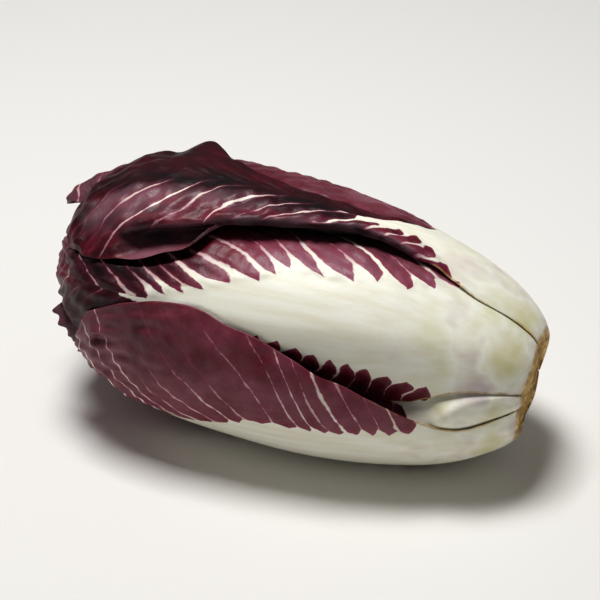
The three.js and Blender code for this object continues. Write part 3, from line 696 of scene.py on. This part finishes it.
# %% Build a closed sheet
def sheet_mesh(name, outer, inner, attributes):
    rows, columns = outer.shape[:2]
    index = np.arange(rows * columns).reshape(rows, columns)
    a, b, c, d = index[:-1, :-1], index[1:, :-1], index[1:, 1:], index[:-1, 1:]
    front = np.stack([a, b, c, d], -1).reshape(-1, 4)
    back = np.stack([a, d, c, b], -1).reshape(-1, 4)
    ring = np.concatenate([index[:, 0], index[-1, 1:], index[-2::-1, -1], index[0, -2:0:-1]])
    ahead = np.roll(ring, -1)
    rim = np.stack([ring, ring + index.size, ahead + index.size, ahead], -1)
    faces = np.concatenate([front, back + index.size, rim])
    doubled = {key: np.concatenate([values.reshape(-1, 3)] * 2) for key, values in attributes.items()}
    piece = add_piece(name, np.stack([outer, inner]), faces.tolist(), doubled)
    u, v = np.meshgrid(np.linspace(0, FLAT_WIDTH, columns), np.linspace(0, 1, rows))
    flat = np.stack([u, v], -1).reshape(-1, 2)
    walk = np.linspace(0, 1, len(ring) + 1)
    rim_v = np.stack([walk[:-1], walk[:-1], walk[1:], walk[1:]], -1)
    rim_u = np.array([RIM_LEFT, RIM_RIGHT, RIM_RIGHT, RIM_LEFT]) + 0 * rim_v
    corners = np.concatenate([flat[front], (flat + [FLAT_BACK, 0])[back], np.stack([rim_u, rim_v], -1)])
    piece.data.uv_layers.new(name="OFBake").data.foreach_set("uv", corners.astype(np.float32).ravel())
    return piece


# %% [markdown]
# ## The fold of the top leaf
# Along its front the top leaf rolls over and hangs above a dark gap. Nearer the tip its margin
# comes out again under the roll, as a lip. Seen from the end it is an S. That bend can't be a
# plain height over the outline, so it is drawn as a line of points across the leaf, each with a
# sideways step in millimetres and a depth, and the line changes smoothly along the leaf.

# %% Draw the fold across the leaf
FOLD_LINE = [(40, 11), (52, 9.5), (60, 7), (68.6, 6.5), (77.2, 7), (95.4, 14.5), (125.9, 25.5),
             (145.2, 32.5), (152, 36), (165, 41)]
FOLD_FROM = 0.55  # of the way from the rib to the margin
HEM = [(-4, 0.1), (-2.4, -0.5), (-0.9, -0.8), (0.5, -0.6), (1.5, 0.2), (1.6, 1.2), (0.7, 2.0),
       (-1.2, 2.4), (-4.4, 2.6)]
LIP = [(-4, 0.1), (-2.0, -0.5), (0.5, -0.6), (1.9, 0.4), (1.7, 2.0), (-1.6, 5.0), (-1.2, 7.6), (2.0, 8.0),
       (4.6, 7.0), (6.0, 4.2)]
FOLD_GROWS, FOLD_GOES, LIP_GROWS = (46, 60), (149, 158), (118, 132)  # mm from the stem
LIP_WIDTH, LIP_LIFT = 6.0, 2.2


def along_bend(points, place):
    """The sideways step and the depth at a place from 0 to 1 along a bend."""
    stops = np.linspace(0, 1, len(points))
    return [np.interp(place, stops, numbers) for numbers in np.array(points, float).T]


def fold_top_leaf(grid):
    distance, across, rib = grid["distance"], grid["across"], grid["rib"]
    scale = DEGREE * grid["radius"]
    fold_turn = read_line(distance, FOLD_LINE)
    place = np.clip((across - FOLD_FROM) / (1 - FOLD_FROM), 0, 1)
    hem_side, hem_depth = along_bend(HEM, place)
    lip_side, lip_depth = along_bend(LIP, place)
    longer = np.maximum((grid["high"] - fold_turn) * scale - LIP_WIDTH, 0)
    lip_side = lip_side + smooth_step(0.6, 1, place) * longer
    lip_depth = lip_depth - smooth_step(0.75, 1, place) * LIP_LIFT
    lip_share = smooth_step(*LIP_GROWS, distance)
    side_step = hem_side * (1 - lip_share) + lip_side * lip_share
    fold_depth = hem_depth * (1 - lip_share) + lip_depth * lip_share
    before = np.clip(across / FOLD_FROM, 0, 1)
    blade_turn = rib + (fold_turn - 4 / scale - rib) * before
    new_turn = np.where(across < FOLD_FROM, blade_turn, fold_turn + side_step / scale)
    new_depth = np.where(across < FOLD_FROM, 0.3 - 0.1 * before, fold_depth)
    share = smooth_step(*FOLD_GROWS, distance) * (1 - smooth_step(*FOLD_GOES, distance)) * (across > 0)
    grid["turn"] = grid["turn"] * (1 - share) + new_turn * share
    grid["depth"] = grid["depth"] * (1 - share) + new_depth * share
    grid["offset"] = (grid["turn"] - rib) * scale
    grid["folded"] = share * smooth_step(0.28, 0.46, place)
    grid["crest"] = share * np.exp(-((place - 0.36) / 0.07) ** 2)


print("the fold turns from", FOLD_LINE[0][1], "to", FOLD_LINE[-1][1], "degrees")

# %% [markdown]
# ## How light and how grey the red is
# The red of a leaf isn't one colour. It glows where it meets the white, and in the fold of the top
# leaf it is painted nearly black as painted shade. A grey painted sheen on the crowns of the puckers
# stands in for the lamp's highlights. Two numbers a point carry this to the paint: the tone of the red, and
# the painted sheen.

# %% Work out tone and painted sheen
EDGE_GLOW, GLOW_WIDTH, GLOW_ABOVE = 0.14, 2, 0.3
SHEEN_FADE = 16  # mm from the white
STREAK_STRETCH, STREAK_WIDTH = 0.18, 5
# The lip and the crest of the fold get painted sheen and painted light, the recess painted shade
LIP_PAINTED_SHEEN, CREST_PAINTED_HIGHLIGHT, LIP_PAINTED_LIGHT, SHADE_TONE = 0.8, 0.4, 0.2, 0.3


def leaf_look(leaf, grid, drawing, across_mm):
    distance, turn = grid["distance"], grid["turn"]
    tone, painted_sheen = two_sided(leaf["tone"], grid), two_sided(leaf["painted_sheen"], grid)
    for values, spots in ((tone, leaf["tones"]), (painted_sheen, leaf["painted_sheen_spots"])):
        for spot_distance, spot_turn, half_length, half_turn, amount in spots:
            off_length, off_turn = (distance - spot_distance) / half_length, (turn - spot_turn) / half_turn
            values += amount * np.exp(-off_length ** 2 - off_turn ** 2)
    beyond = np.maximum(drawing["away"], 0)
    tone = tone + EDGE_GLOW * np.exp(-beyond / GLOW_WIDTH) * (tone > GLOW_ABOVE)
    tone = tone + leaf["streaks"] * unevenness(distance * STREAK_STRETCH, across_mm, STREAK_WIDTH)
    # Painted sheen: grey between the veins, on the lip and along the fold's crest stands in for highlights
    sheen = two_sided(leaf["sheen"], grid) * drawing["between"]
    painted_sheen = painted_sheen + sheen * smooth_step(1.5, 5, beyond) * np.exp(-beyond / SHEEN_FADE)
    folded = grid.get("folded", 0.0)
    at_lip = folded * smooth_step(0.75, 1, grid["across"])
    painted_sheen = painted_sheen + LIP_PAINTED_SHEEN * at_lip + CREST_PAINTED_HIGHLIGHT * grid.get("crest", 0.0)
    # Painted shade: the red in the fold's recess is made darker; the lip is made lighter as painted light
    tone = tone + LIP_PAINTED_LIGHT * at_lip - SHADE_TONE * folded * (grid["across"] < 0.9)
    return tone, painted_sheen


# %% Lay every leaf in its place
EDGE_RIPPLE, RIPPLE_WIDTH = 0.5, 7
RIPPLE_SIDEWAYS, RIPPLE_UPWARDS = 13, 11  # lengths of the waves
SMALLEST_RADIUS = 4


def ripple_margin(grid, across_mm):
    edge = 1 - smooth_step(0, RIPPLE_WIDTH, grid["margin"])
    ripple = EDGE_RIPPLE * edge * smooth_step(20, 60, grid["distance"])
    sideways = ripple * unevenness(grid["distance"], across_mm, RIPPLE_SIDEWAYS)
    grid["turn"] += sideways / (DEGREE * np.maximum(grid["radius"], SMALLEST_RADIUS))
    grid["depth"] -= ripple * unevenness(grid["distance"], across_mm, RIPPLE_UPWARDS)


def points_on(grid, depth):
    points = lay_down(head_point(grid["distance"], grid["turn"], depth))
    points[..., 2] = np.maximum(points[..., 2], 0)
    return points


pieces = {}
for name, leaf in LEAVES.items():
    grid = leaf_grid(leaf)
    if name == "leaf_top":
        fold_top_leaf(grid)
    across_mm = grid["turn"] * DEGREE * grid["radius"]
    ripple_margin(grid, across_mm)
    distance, turn = grid["distance"], grid["turn"]
    free = np.maximum(read_room(soft_room(), distance, turn), depth_above_floor(distance, turn))
    laid = np.maximum(grid["depth"], free)
    inner = laid + leaf_thickness(leaf, grid)
    take_room(distance, turn, inner)
    drawing = vein_drawing(leaf, grid)
    flat = 1 - grid.get("folded", 0.0)
    drawing["fade"] = drawing["fade"] * flat
    outer = np.maximum(laid - relief(leaf, grid, drawing) * flat, free)
    tone, painted_sheen = leaf_look(leaf, grid, drawing, across_mm)
    attributes = {
        "vein": np.stack([drawing["count"], drawing["gap"], drawing["width"]], -1),
        "place": np.stack([drawing["away"], drawing["fade"], grid["margin"]], -1),
        "look": np.stack([tone, painted_sheen, distance], -1),
    }
    pieces[name] = sheet_mesh(name + "_skin", points_on(grid, outer), points_on(grid, inner), attributes)
    print(name, "faces:", len(pieces[name].data.polygons))

# %% [markdown]
# ## The heart
# The heart is a dense head of small leaves. Only its tips can be glimpsed at the far end, so it
# is a closed core that fills the room the leaves have left, with five crinkled tips leaning over.

# %% Fill the middle with the heart
HEART_START, HEART_DEPTH = 15.0, 6.5
HEART_END, HEART_END_DEPTH = 4, 8.1
CORE_ROWS, CORE_COLUMNS = 120, 180
TIP_START, TIP_END, TIP_ROUND = 168, 207, 7
TIP_TURNS = [-152, -74, -8, 62, 128]
TIP_HALF_TURN = 44
TIP_POINTS = 51
TIP_THICKNESS, TIP_ROOM = 1.2, 1.0
TIP_DEPTH, TIP_SUNK, TIP_OVERLAP = 2.0, 3, 0.8  # mm; tips start deep and lie one over the next


def plain_attributes(distance, tone, painted_sheen):
    """The numbers of a place far from any vein."""
    def even(value):
        return np.full(distance.shape, value)
    return {"vein": np.stack([even(0.5), even(8.0), even(0.05)], -1),
            "place": np.stack([even(30.0), even(0.0), even(30.0)], -1),
            "look": np.stack([even(tone), even(painted_sheen), distance], -1)}


tips = []
for turn_of_tip in TIP_TURNS:
    steps = np.linspace(0, 1, TIP_POINTS), np.linspace(-1, 1, TIP_POINTS)
    along, across = np.meshgrid(*steps, indexing="ij")
    distance = TIP_START + (TIP_END - TIP_ROUND * across ** 2 - TIP_START) * along
    turn = turn_of_tip + TIP_HALF_TURN * (1 - 0.45 * along ** 2) * across
    across_mm = turn * DEGREE * outline_at(distance)[1]
    free = read_room(soft_room(), distance, turn)
    sunk = TIP_SUNK * (1 - smooth_step(0, 0.6, along)) + TIP_OVERLAP * (1 + across)
    crumple = unevenness(distance, across_mm, 6) * 0.5 * smooth_step(0.1, 0.4, along)
    depth = np.maximum(TIP_DEPTH, free) + sunk + crumple + 0.3
    tip_outer = lay_down(head_point(distance, turn, depth))
    tip_inner = lay_down(head_point(distance, turn, depth + TIP_THICKNESS))
    # The tips get a tone of 0.36 and a painted sheen of 0.35
    attributes = plain_attributes(distance, 0.36, 0.35)
    tips.append(sheet_mesh("heart_tip_" + str(len(tips)), tip_outer, tip_inner, attributes))
    take_room(distance, turn, depth + TIP_ROOM)
print("heart tips:", len(tips))

# %% Close the core under the tips
walk = np.linspace(HEART_START, outline_length - HEART_END, CORE_ROWS + 1)[:, None]
turn = (np.arange(CORE_COLUMNS) * 360 / CORE_COLUMNS)[None, :]
walk, turn = walk + 0 * turn, turn + 0 * walk
depth = np.maximum(HEART_DEPTH, read_room(soft_room(), walk, turn))
core = lay_down(head_point(walk, turn, depth)).reshape(-1, 3)
ends = []
for end_distance, end_depth in ((HEART_START, HEART_DEPTH), (outline_length, HEART_END_DEPTH)):
    end = head_point(np.array(end_distance), np.array(0.0), np.array(end_depth))
    ends.append(lay_down(end * [1, 0, 0]))
index, ahead, faces = turned_faces(*walk.shape)
faces += [[index.size, int(i), int(j)] for i, j in zip(index[0], ahead[0])]
faces += [[index.size + 1, int(j), int(i)] for i, j in zip(index[-1], ahead[-1])]
attributes = {}
for key, values in plain_attributes(walk, 0.3, 0.2).items():
    values = values.reshape(-1, 3)
    attributes[key] = np.concatenate([values, values[:2]])
heart_core = add_piece("heart_core", np.concatenate([core, ends]), faces, attributes)
print("faces of the core:", len(faces))

# %% [markdown]
# ## The stem
# The stem is a short stub, cut across. The cut dries brown and cracks, with a paler crust. A turned
# profile gives the stub, and random waves roughen it, more on the cut than round the side.

# %% Turn the stem
STEM_SIDES, STEM_ROWS = 160, 9
STEM_PROFILE = [(1.5, 0.05), (1.6, 6), (1.65, 12), (1.6, 16), (1.9, 17.6), (2.5, 18.4), (3.4, 17.8),
                (4.6, 16.8), (6, 15.7), (8, 14.8)]
CUT_RADIUS, CUT_DEPTH = 16.8, 1.8
profile = smooth_line(STEM_PROFILE, STEM_ROWS)
angle = np.linspace(0, 2 * np.pi, STEM_SIDES, endpoint=False)
stem_along, stem_turn = profile[:, :1] + 0 * angle, angle[None, :] + 0 * profile[:, :1]
stem_radius = profile[:, 1:] + 0 * angle
flat_x, flat_y = stem_radius * np.cos(stem_turn), stem_radius * np.sin(stem_turn)
# Waves of 3 and 7 mm crack the cut, and finer ones dent the side
rough = unevenness(flat_x, flat_y, 3.2, 14) * 0.28 + unevenness(flat_x, flat_y, 7, 9) * 0.3
side_rough = unevenness(stem_along * 3, stem_turn * 18, 4, 12) * 0.4
on_cut = (stem_radius < CUT_RADIUS) * (stem_along < CUT_DEPTH)
stem_along = stem_along + np.clip(0.45 + rough, 0, 1.2) * on_cut
stem_radius = stem_radius + np.minimum(side_rough, 0) * smooth_step(11, 15.5, stem_radius) - 0.15
stem_points = lay_down(np.stack([AXIS_MIDDLE - stem_along, -stem_radius * np.sin(stem_turn),
                                 stem_radius * np.cos(stem_turn)], -1))
index, ahead, faces = turned_faces(*stem_radius.shape)
faces += [index[0].tolist(), index[-1][::-1].tolist()]
stem_piece = add_piece("stem_stub", stem_points, faces, {"ring": stem_radius.ravel()})
print("stem faces:", len(faces))


# %% [markdown]
# ## Paint
# Leaf skin is a thin waxy film over wet tissue: red pigment sits right under it, and the ribs
# have none, so they are white and let a little light in. The material mixes the two by the
# drawing that rides on the points, with ragged edges from a fine noise.
#
# Sockets are picked by name, or by number where a name comes more than once: a Mix node has its
# two colours at inputs 6 and 7 and gives the mixed one at output 2.
#
# The film has the IOR of wet tissue under plant wax, 1.38. Its roughness moves between 0.34 and
# 0.54, a satin with duller patches, and a weak subsurface of 2 mm lets light into the ribs.

# %% Helpers for materials
def paint_color(code):
    """An sRGB hex colour as the linear one that Blender mixes."""
    channels = [int(code[i:i + 2], 16) / 255 for i in (1, 3, 5)]
    return tuple(c / 12.92 if c <= 0.04045 else ((c + 0.055) / 1.055) ** 2.4 for c in channels) + (1.0,)


def add(tree, kind, inputs, **settings):
    """Adds a node: its settings, then a value or a link for each socket. A node given as a
    value is linked from its first output."""
    node = tree.nodes.new("ShaderNode" + kind)
    for key, value in settings.items():
        setattr(node, key, value)
    for key, value in inputs.items():
        if isinstance(value, bpy.types.Node):
            value = value.outputs[0]
        if isinstance(value, bpy.types.NodeSocket):
            tree.links.new(value, node.inputs[key])
        else:
            node.inputs[key].default_value = value
    return node


def set_ramp(node, stops):
    elements = node.color_ramp.elements
    while len(elements) > 1:
        elements.remove(elements[-1])
    for number, (place, code) in enumerate(stops):
        element = elements[0] if number == 0 else elements.new(place)
        element.position = place
        element.color = paint_color(code)
    return node


def blank_material(name):
    material = bpy.data.materials.new(name)
    material.use_nodes = True
    material.node_tree.nodes.clear()
    return material


print("half way to white, as a linear colour:", round(paint_color("#808080")[0], 3))

# %% Colours of the tissues
RED_TISSUE = [(0.0, "#16050a"), (0.3, "#3c0713"), (0.5, "#680d20"), (0.7, "#84203d"), (0.85, "#98455e"),
              (1.0, "#b07086")]
DRIED_TISSUE = [(0.25, "#6b4e28"), (0.42, "#a8844a"), (0.53, "#c8a25c"), (0.66, "#e6c98a"),
                (0.8, "#f6eed2")]
RIB_TISSUE = [(0.0, "#e0dac0"), (0.4, "#eeead8"), (0.6, "#f4f2e4"), (1.0, "#faf9f0")]
# Grey of the painted sheen, a painted highlight on the red
PAINTED_SHEEN_GREY = "#957883"
PINK_FRINGE = "#a04a68"
GREEN_BLUSH, PURPLE_BLUSH = "#cfc98a", "#a98a98"
print("steps of the red:", len(RED_TISSUE))

# %% Sizes of the patterns
# A scale counts waves to the metre, so it is 1000 divided by a size in millimetres
PIGMENT_EDGE = 420.0  # 2.4 mm, where pigment cells end one by one
PATCHES = 110.0  # 9 mm, how far veins drift and gloss changes
MOTTLE = 80.0  # 12 mm, clouds in the red
BLUSHES = 60.0  # 17 mm, green and purple spots near the stem
FIBRES = (14.0, 300.0, 300.0)  # 70 mm long and 3.3 mm wide, coarser than real ones, so they show
PITS, GRAIN = 520.0, 900.0  # 1.9 mm and 1.1 mm
CRUMBS = 380.0  # 2.6 mm, the cracked cut of the stem
print("finest pattern, mm:", round(1000 / GRAIN, 1))


# %% Where a leaf is white
def white_share(tree, vein, place, ragged, broad):
    """1 on ribs and veins and 0 on red skin, with edges as ragged as the noise."""
    swing = add(tree, "Math", {0: ragged, 1: 0.5}, operation="SUBTRACT")
    drift = add(tree, "Math", {0: broad, 1: 0.5}, operation="SUBTRACT")
    count = add(tree, "Math", {0: drift, 1: 0.22, 2: vein.outputs[0]}, operation="MULTIPLY_ADD")
    near = add(tree, "Math", {0: count, 1: 0.5}, operation="PINGPONG")
    near = add(tree, "Math", {0: near, 1: vein.outputs[1]}, operation="MULTIPLY")
    near = add(tree, "Math", {0: swing, 1: 1.0, 2: near}, operation="MULTIPLY_ADD")
    near = add(tree, "Math", {0: drift, 1: 1.2, 2: near}, operation="MULTIPLY_ADD")
    inside = add(tree, "Math", {0: vein.outputs[2], 1: near}, operation="SUBTRACT")
    line = add(tree, "MapRange", {"Value": inside, "From Min": -0.4, "From Max": 0.3},
               interpolation_type="SMOOTHSTEP")
    halo = add(tree, "MapRange", {"Value": inside, "From Min": -2.6, "From Max": 0.0, "To Max": 0.13},
               interpolation_type="SMOOTHSTEP")
    line = add(tree, "Math", {0: line, 1: halo}, operation="MAXIMUM")
    # Veins lose their white towards the margin
    line = add(tree, "Math", {0: line, 1: place.outputs[1]}, operation="MULTIPLY")
    away = add(tree, "Math", {0: swing, 1: 1.6, 2: place.outputs[0]}, operation="MULTIPLY_ADD")
    rib = add(tree, "MapRange", {"Value": away, "From Min": 0.5, "From Max": -0.5},
              interpolation_type="SMOOTHSTEP")
    return add(tree, "Math", {0: line, 1: rib}, operation="MAXIMUM")


# %% Red tissue under a grey film, and white tissue with blushes
def red_tissue(tree, where, look):
    """Red pigment, mottled over some 12 mm, and a grey painted sheen over it that stands in for highlights.
    """
    mottle = add(tree, "TexNoise", {"Vector": where, "Scale": MOTTLE, "Detail": 4.0, "Roughness": 0.6})
    mottle = add(tree, "Math", {0: mottle, 1: 0.5}, operation="SUBTRACT")
    tone = add(tree, "Math", {0: mottle, 1: 0.5, 2: look.outputs[0]}, operation="MULTIPLY_ADD")
    red = set_ramp(add(tree, "ValToRGB", {"Fac": tone}), RED_TISSUE)
    # Painted sheen: grey mixed into the red where the lamp's highlights would be
    painted_sheen = add(tree, "Math", {0: mottle, 1: look.outputs[1]}, operation="ADD")
    painted_sheen = add(tree, "Math", {0: painted_sheen, 1: 0.65}, operation="MULTIPLY", use_clamp=True)
    painted_sheen_mix = add(tree, "Mix", {"Factor": painted_sheen, 6: red, 7: paint_color(PAINTED_SHEEN_GREY)}, data_type="RGBA")
    return painted_sheen_mix.outputs[2]


def rib_tissue(tree, where, look):
    """White with long fibres, and a yellow green and a purple blush near the stem."""
    fibres = add(tree, "Mapping", {"Vector": where, "Scale": FIBRES})
    fibres = add(tree, "TexNoise", {"Vector": fibres, "Scale": 1.0, "Detail": 3.0})
    pale = set_ramp(add(tree, "ValToRGB", {"Fac": fibres}), RIB_TISSUE)
    near_stem = add(tree, "MapRange", {"Value": look.outputs[2], "From Min": 60.0, "From Max": 10.0})
    patch = add(tree, "TexNoise", {"Vector": where, "Scale": BLUSHES, "Detail": 2.0})
    for start, full, most, blush in ((0.48, 0.68, 0.75, GREEN_BLUSH), (0.47, 0.32, 0.6, PURPLE_BLUSH)):
        share = add(tree, "MapRange", {"Value": patch, "From Min": start, "From Max": full, "To Max": most})
        share = add(tree, "Math", {0: share, 1: near_stem}, operation="MULTIPLY")
        pale = add(tree, "Mix", {"Factor": share, 6: pale, 7: paint_color(blush)}, data_type="RGBA")
        pale = pale.outputs[2]
    return pale


# %% Cut and bruised edges
def brown_share(tree, place, look, broad):
    """Edges near the stem dry brown, in places, and so does the cut."""
    cut = add(tree, "MapRange", {"Value": look.outputs[2], "From Min": 3.2, "From Max": 1.8})
    edge = add(tree, "MapRange", {"Value": place.outputs[2], "From Min": 0.9, "From Max": 0.3})
    bruised = add(tree, "MapRange", {"Value": look.outputs[2], "From Min": 58.0, "From Max": 34.0,
                                     "To Max": 0.8})
    some = add(tree, "MapRange", {"Value": broad, "From Min": 0.42, "From Max": 0.56})
    edge = add(tree, "Math", {0: edge, 1: bruised}, operation="MULTIPLY")
    edge = add(tree, "Math", {0: edge, 1: some}, operation="MULTIPLY")
    return add(tree, "Math", {0: edge, 1: cut}, operation="MAXIMUM")


# %% Waxy leaf skin over red and white tissue
def leaf_skin(name):
    material = blank_material(name)
    tree = material.node_tree
    numbers = []
    for key in ("vein", "place", "look"):
        stored = add(tree, "Attribute", {}, attribute_name=key)
        numbers.append(add(tree, "SeparateXYZ", {0: stored.outputs["Vector"]}))
    vein, place, look = numbers
    where = add(tree, "TexCoord", {}).outputs["Object"]
    ragged = add(tree, "TexNoise", {"Vector": where, "Scale": PIGMENT_EDGE, "Detail": 3.0})
    broad = add(tree, "TexNoise", {"Vector": where, "Scale": PATCHES, "Detail": 2.0})
    white = white_share(tree, vein, place, ragged, broad)
    # The red meets the white in a narrow pink fringe
    pink = add(tree, "MapRange", {"Value": white, "From Max": 0.3})
    skin = add(tree, "Mix", {"Factor": pink, 6: red_tissue(tree, where, look), 7: paint_color(PINK_FRINGE)},
               data_type="RGBA").outputs[2]
    whiten = add(tree, "MapRange", {"Value": white, "From Min": 0.12, "From Max": 0.6})
    skin = add(tree, "Mix", {"Factor": whiten, 6: skin, 7: rib_tissue(tree, where, look)},
               data_type="RGBA").outputs[2]
    brown = brown_share(tree, place, look, broad)
    crust = set_ramp(add(tree, "ValToRGB", {"Fac": ragged}), DRIED_TISSUE)
    skin = add(tree, "Mix", {"Factor": brown, 6: skin, 7: crust}, data_type="RGBA").outputs[2]
    # Pits and cells of the skin are deeper in the red than in the waxy white
    cells = add(tree, "TexVoronoi", {"Vector": where, "Scale": PITS})
    grain = add(tree, "TexNoise", {"Vector": where, "Scale": GRAIN, "Detail": 3.0})
    height = add(tree, "Math", {0: cells, 1: 0.5, 2: grain}, operation="MULTIPLY_ADD")
    depth = add(tree, "MapRange", {"Value": white, "To Min": 0.45, "To Max": 0.15})
    bump = add(tree, "Bump", {"Height": height, "Strength": depth, "Distance": 0.0003})
    gloss = add(tree, "MapRange", {"Value": broad, "To Min": 0.34, "To Max": 0.54})
    wax = add(tree, "BsdfPrincipled", {
        "Base Color": skin, "Roughness": gloss, "IOR": 1.38, "Normal": bump,
        "Subsurface Weight": 0.08, "Subsurface Radius": (1.0, 0.6, 0.4), "Subsurface Scale": 0.002})
    add(tree, "OutputMaterial", {"Surface": wax})
    return material


waxy_leaf = leaf_skin("radicchio_leaf_skin")
for piece in list(pieces.values()) + tips + [heart_core]:
    piece.data.materials.append(waxy_leaf)
print("leaf skin on", len(pieces) + len(tips) + 1, "pieces")

# %% [markdown]
# ## The dried cut
# Cut tissue dries within a day to a brown crust that hardly shines, so its roughness is 0.85.
# A picture of it would fit one side only. Noise as coarse as the crumbs, read through a row of
# browns, runs on round the edge, and the distance from the middle turns the pith pale.

# %% Dried brown cut of the stem
def dried_cut():
    material = blank_material("dried_stem_cut")
    tree = material.node_tree
    where = add(tree, "TexCoord", {}).outputs["Object"]
    crumbs = add(tree, "TexNoise", {"Vector": where, "Scale": CRUMBS, "Detail": 6.0, "Roughness": 0.7})
    # The pith in the middle dries pale, the ring of veins round it darker, and the rim is a crust
    ring = add(tree, "Attribute", {}, attribute_name="ring").outputs["Fac"]
    pith = add(tree, "MapRange", {"Value": ring, "From Min": 3.0, "From Max": 13.0, "To Min": 0.1,
                                  "To Max": -0.07}, interpolation_type="SMOOTHSTEP")
    rim = add(tree, "MapRange", {"Value": ring, "From Min": 14.0, "From Max": 16.5, "To Max": 0.14},
              interpolation_type="SMOOTHSTEP")
    shade = add(tree, "Math", {0: pith, 1: rim}, operation="ADD")
    shade = add(tree, "Math", {0: shade, 1: crumbs}, operation="ADD")
    brown = set_ramp(add(tree, "ValToRGB", {"Fac": shade}), DRIED_TISSUE)
    bump = add(tree, "Bump", {"Height": crumbs, "Strength": 0.9, "Distance": 0.0008})
    dry = add(tree, "BsdfPrincipled", {"Base Color": brown, "Roughness": 0.85, "Normal": bump})
    add(tree, "OutputMaterial", {"Surface": dry})
    return material


stem_piece.data.materials.append(dried_cut())
print("nodes in the leaf skin:", len(waxy_leaf.node_tree.nodes))

# %% [markdown]
# ## Handing over
# Every piece rides on the one body of the head and takes the place of a plain solid of the packed
# model. The plain solids are left as they are.

# %% Hand the pieces to the frame
for name, piece in pieces.items():
    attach(piece, "root")
    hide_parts(name)
for piece in tips + [heart_core]:
    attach(piece, "root")
    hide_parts("heart")
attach(stem_piece, "root")
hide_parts("stem")
print("pieces handed over:", len(pieces) + len(tips) + 2)

# %% [markdown]
# ## Studio
# One soft lamp hangs nearly straight above a pale floor, and the world adds a weak even light.
# So the top of the head is bright, and the sides and the room under the fold fall into shade.
# The camera looks down from the front and a little from the stem's side, with a long lens that
# keeps the shape free of distortion. The Standard view shows the colours as they were mixed, and
# a look with more contrast brings the dark reds close to black, as a camera would.

# %% Floor and lamps
bpy.ops.mesh.primitive_plane_add(size=6.0, location=(0, 0, 0))
floor = bpy.context.object
floor.name = "studio_floor"
FLOOR_ROUGHNESS = 0.9
paper = bpy.data.materials.new("pale_paper")
paper.use_nodes = True
paper_shader = paper.node_tree.nodes["Principled BSDF"]
paper_shader.inputs["Base Color"].default_value = paint_color("#eceae6")
paper_shader.inputs["Roughness"].default_value = FLOOR_ROUGHNESS
floor.data.materials.append(paper)


def soft_lamp(name, place, size, power):
    lamp = bpy.data.lights.new(name, "AREA")
    lamp.shape = "SQUARE"
    lamp.size = size
    lamp.energy = power
    holder = bpy.data.objects.new(name, lamp)
    holder.location = place
    holder.rotation_euler = (Vector((0, 0, 0.05)) - Vector(place)).to_track_quat("-Z", "Y").to_euler()
    bpy.context.collection.objects.link(holder)
    return holder


LAMP_PLACE, LAMP_SIZE, LAMP_POWER = (-0.14, 0.03, 1.0), 0.35, 8.3
WORLD_LIGHT = 0.13
soft_lamp("key_lamp", LAMP_PLACE, LAMP_SIZE, LAMP_POWER)
world = bpy.data.worlds.new("studio")
world.use_nodes = True
world.node_tree.nodes["Background"].inputs["Color"].default_value = (1, 1, 1, 1)
world.node_tree.nodes["Background"].inputs["Strength"].default_value = WORLD_LIGHT
bpy.context.scene.world = world
print("lamp at", LAMP_PLACE, "of", LAMP_POWER, "W")

# %% Camera
CAMERA_TURN, CAMERA_RISE = 18.5 * DEGREE, 33 * DEGREE
CAMERA_REACH = 0.75
CAMERA_LENS = 127.2  # mm, on a sensor 36 mm wide
LOOKED_AT = [4.0, 0.0, 5.7]  # mm from the middle of the head
target = Vector(((SHIFT + LOOKED_AT) * MM).tolist())
back = Vector((np.sin(CAMERA_TURN) * np.cos(CAMERA_RISE), -np.cos(CAMERA_TURN) * np.cos(CAMERA_RISE),
               np.sin(CAMERA_RISE)))
camera = bpy.data.objects.new("camera", bpy.data.cameras.new("camera"))
camera.data.lens = CAMERA_LENS
camera.data.sensor_width = 36
camera.location = target + back * CAMERA_REACH
camera.rotation_euler = (-back).to_track_quat("-Z", "Y").to_euler()
bpy.context.collection.objects.link(camera)
bpy.context.scene.camera = camera
bpy.context.scene.view_settings.view_transform = "Standard"
bpy.context.scene.view_settings.look = "Medium High Contrast"
print("camera at", [round(v, 3) for v in camera.location])
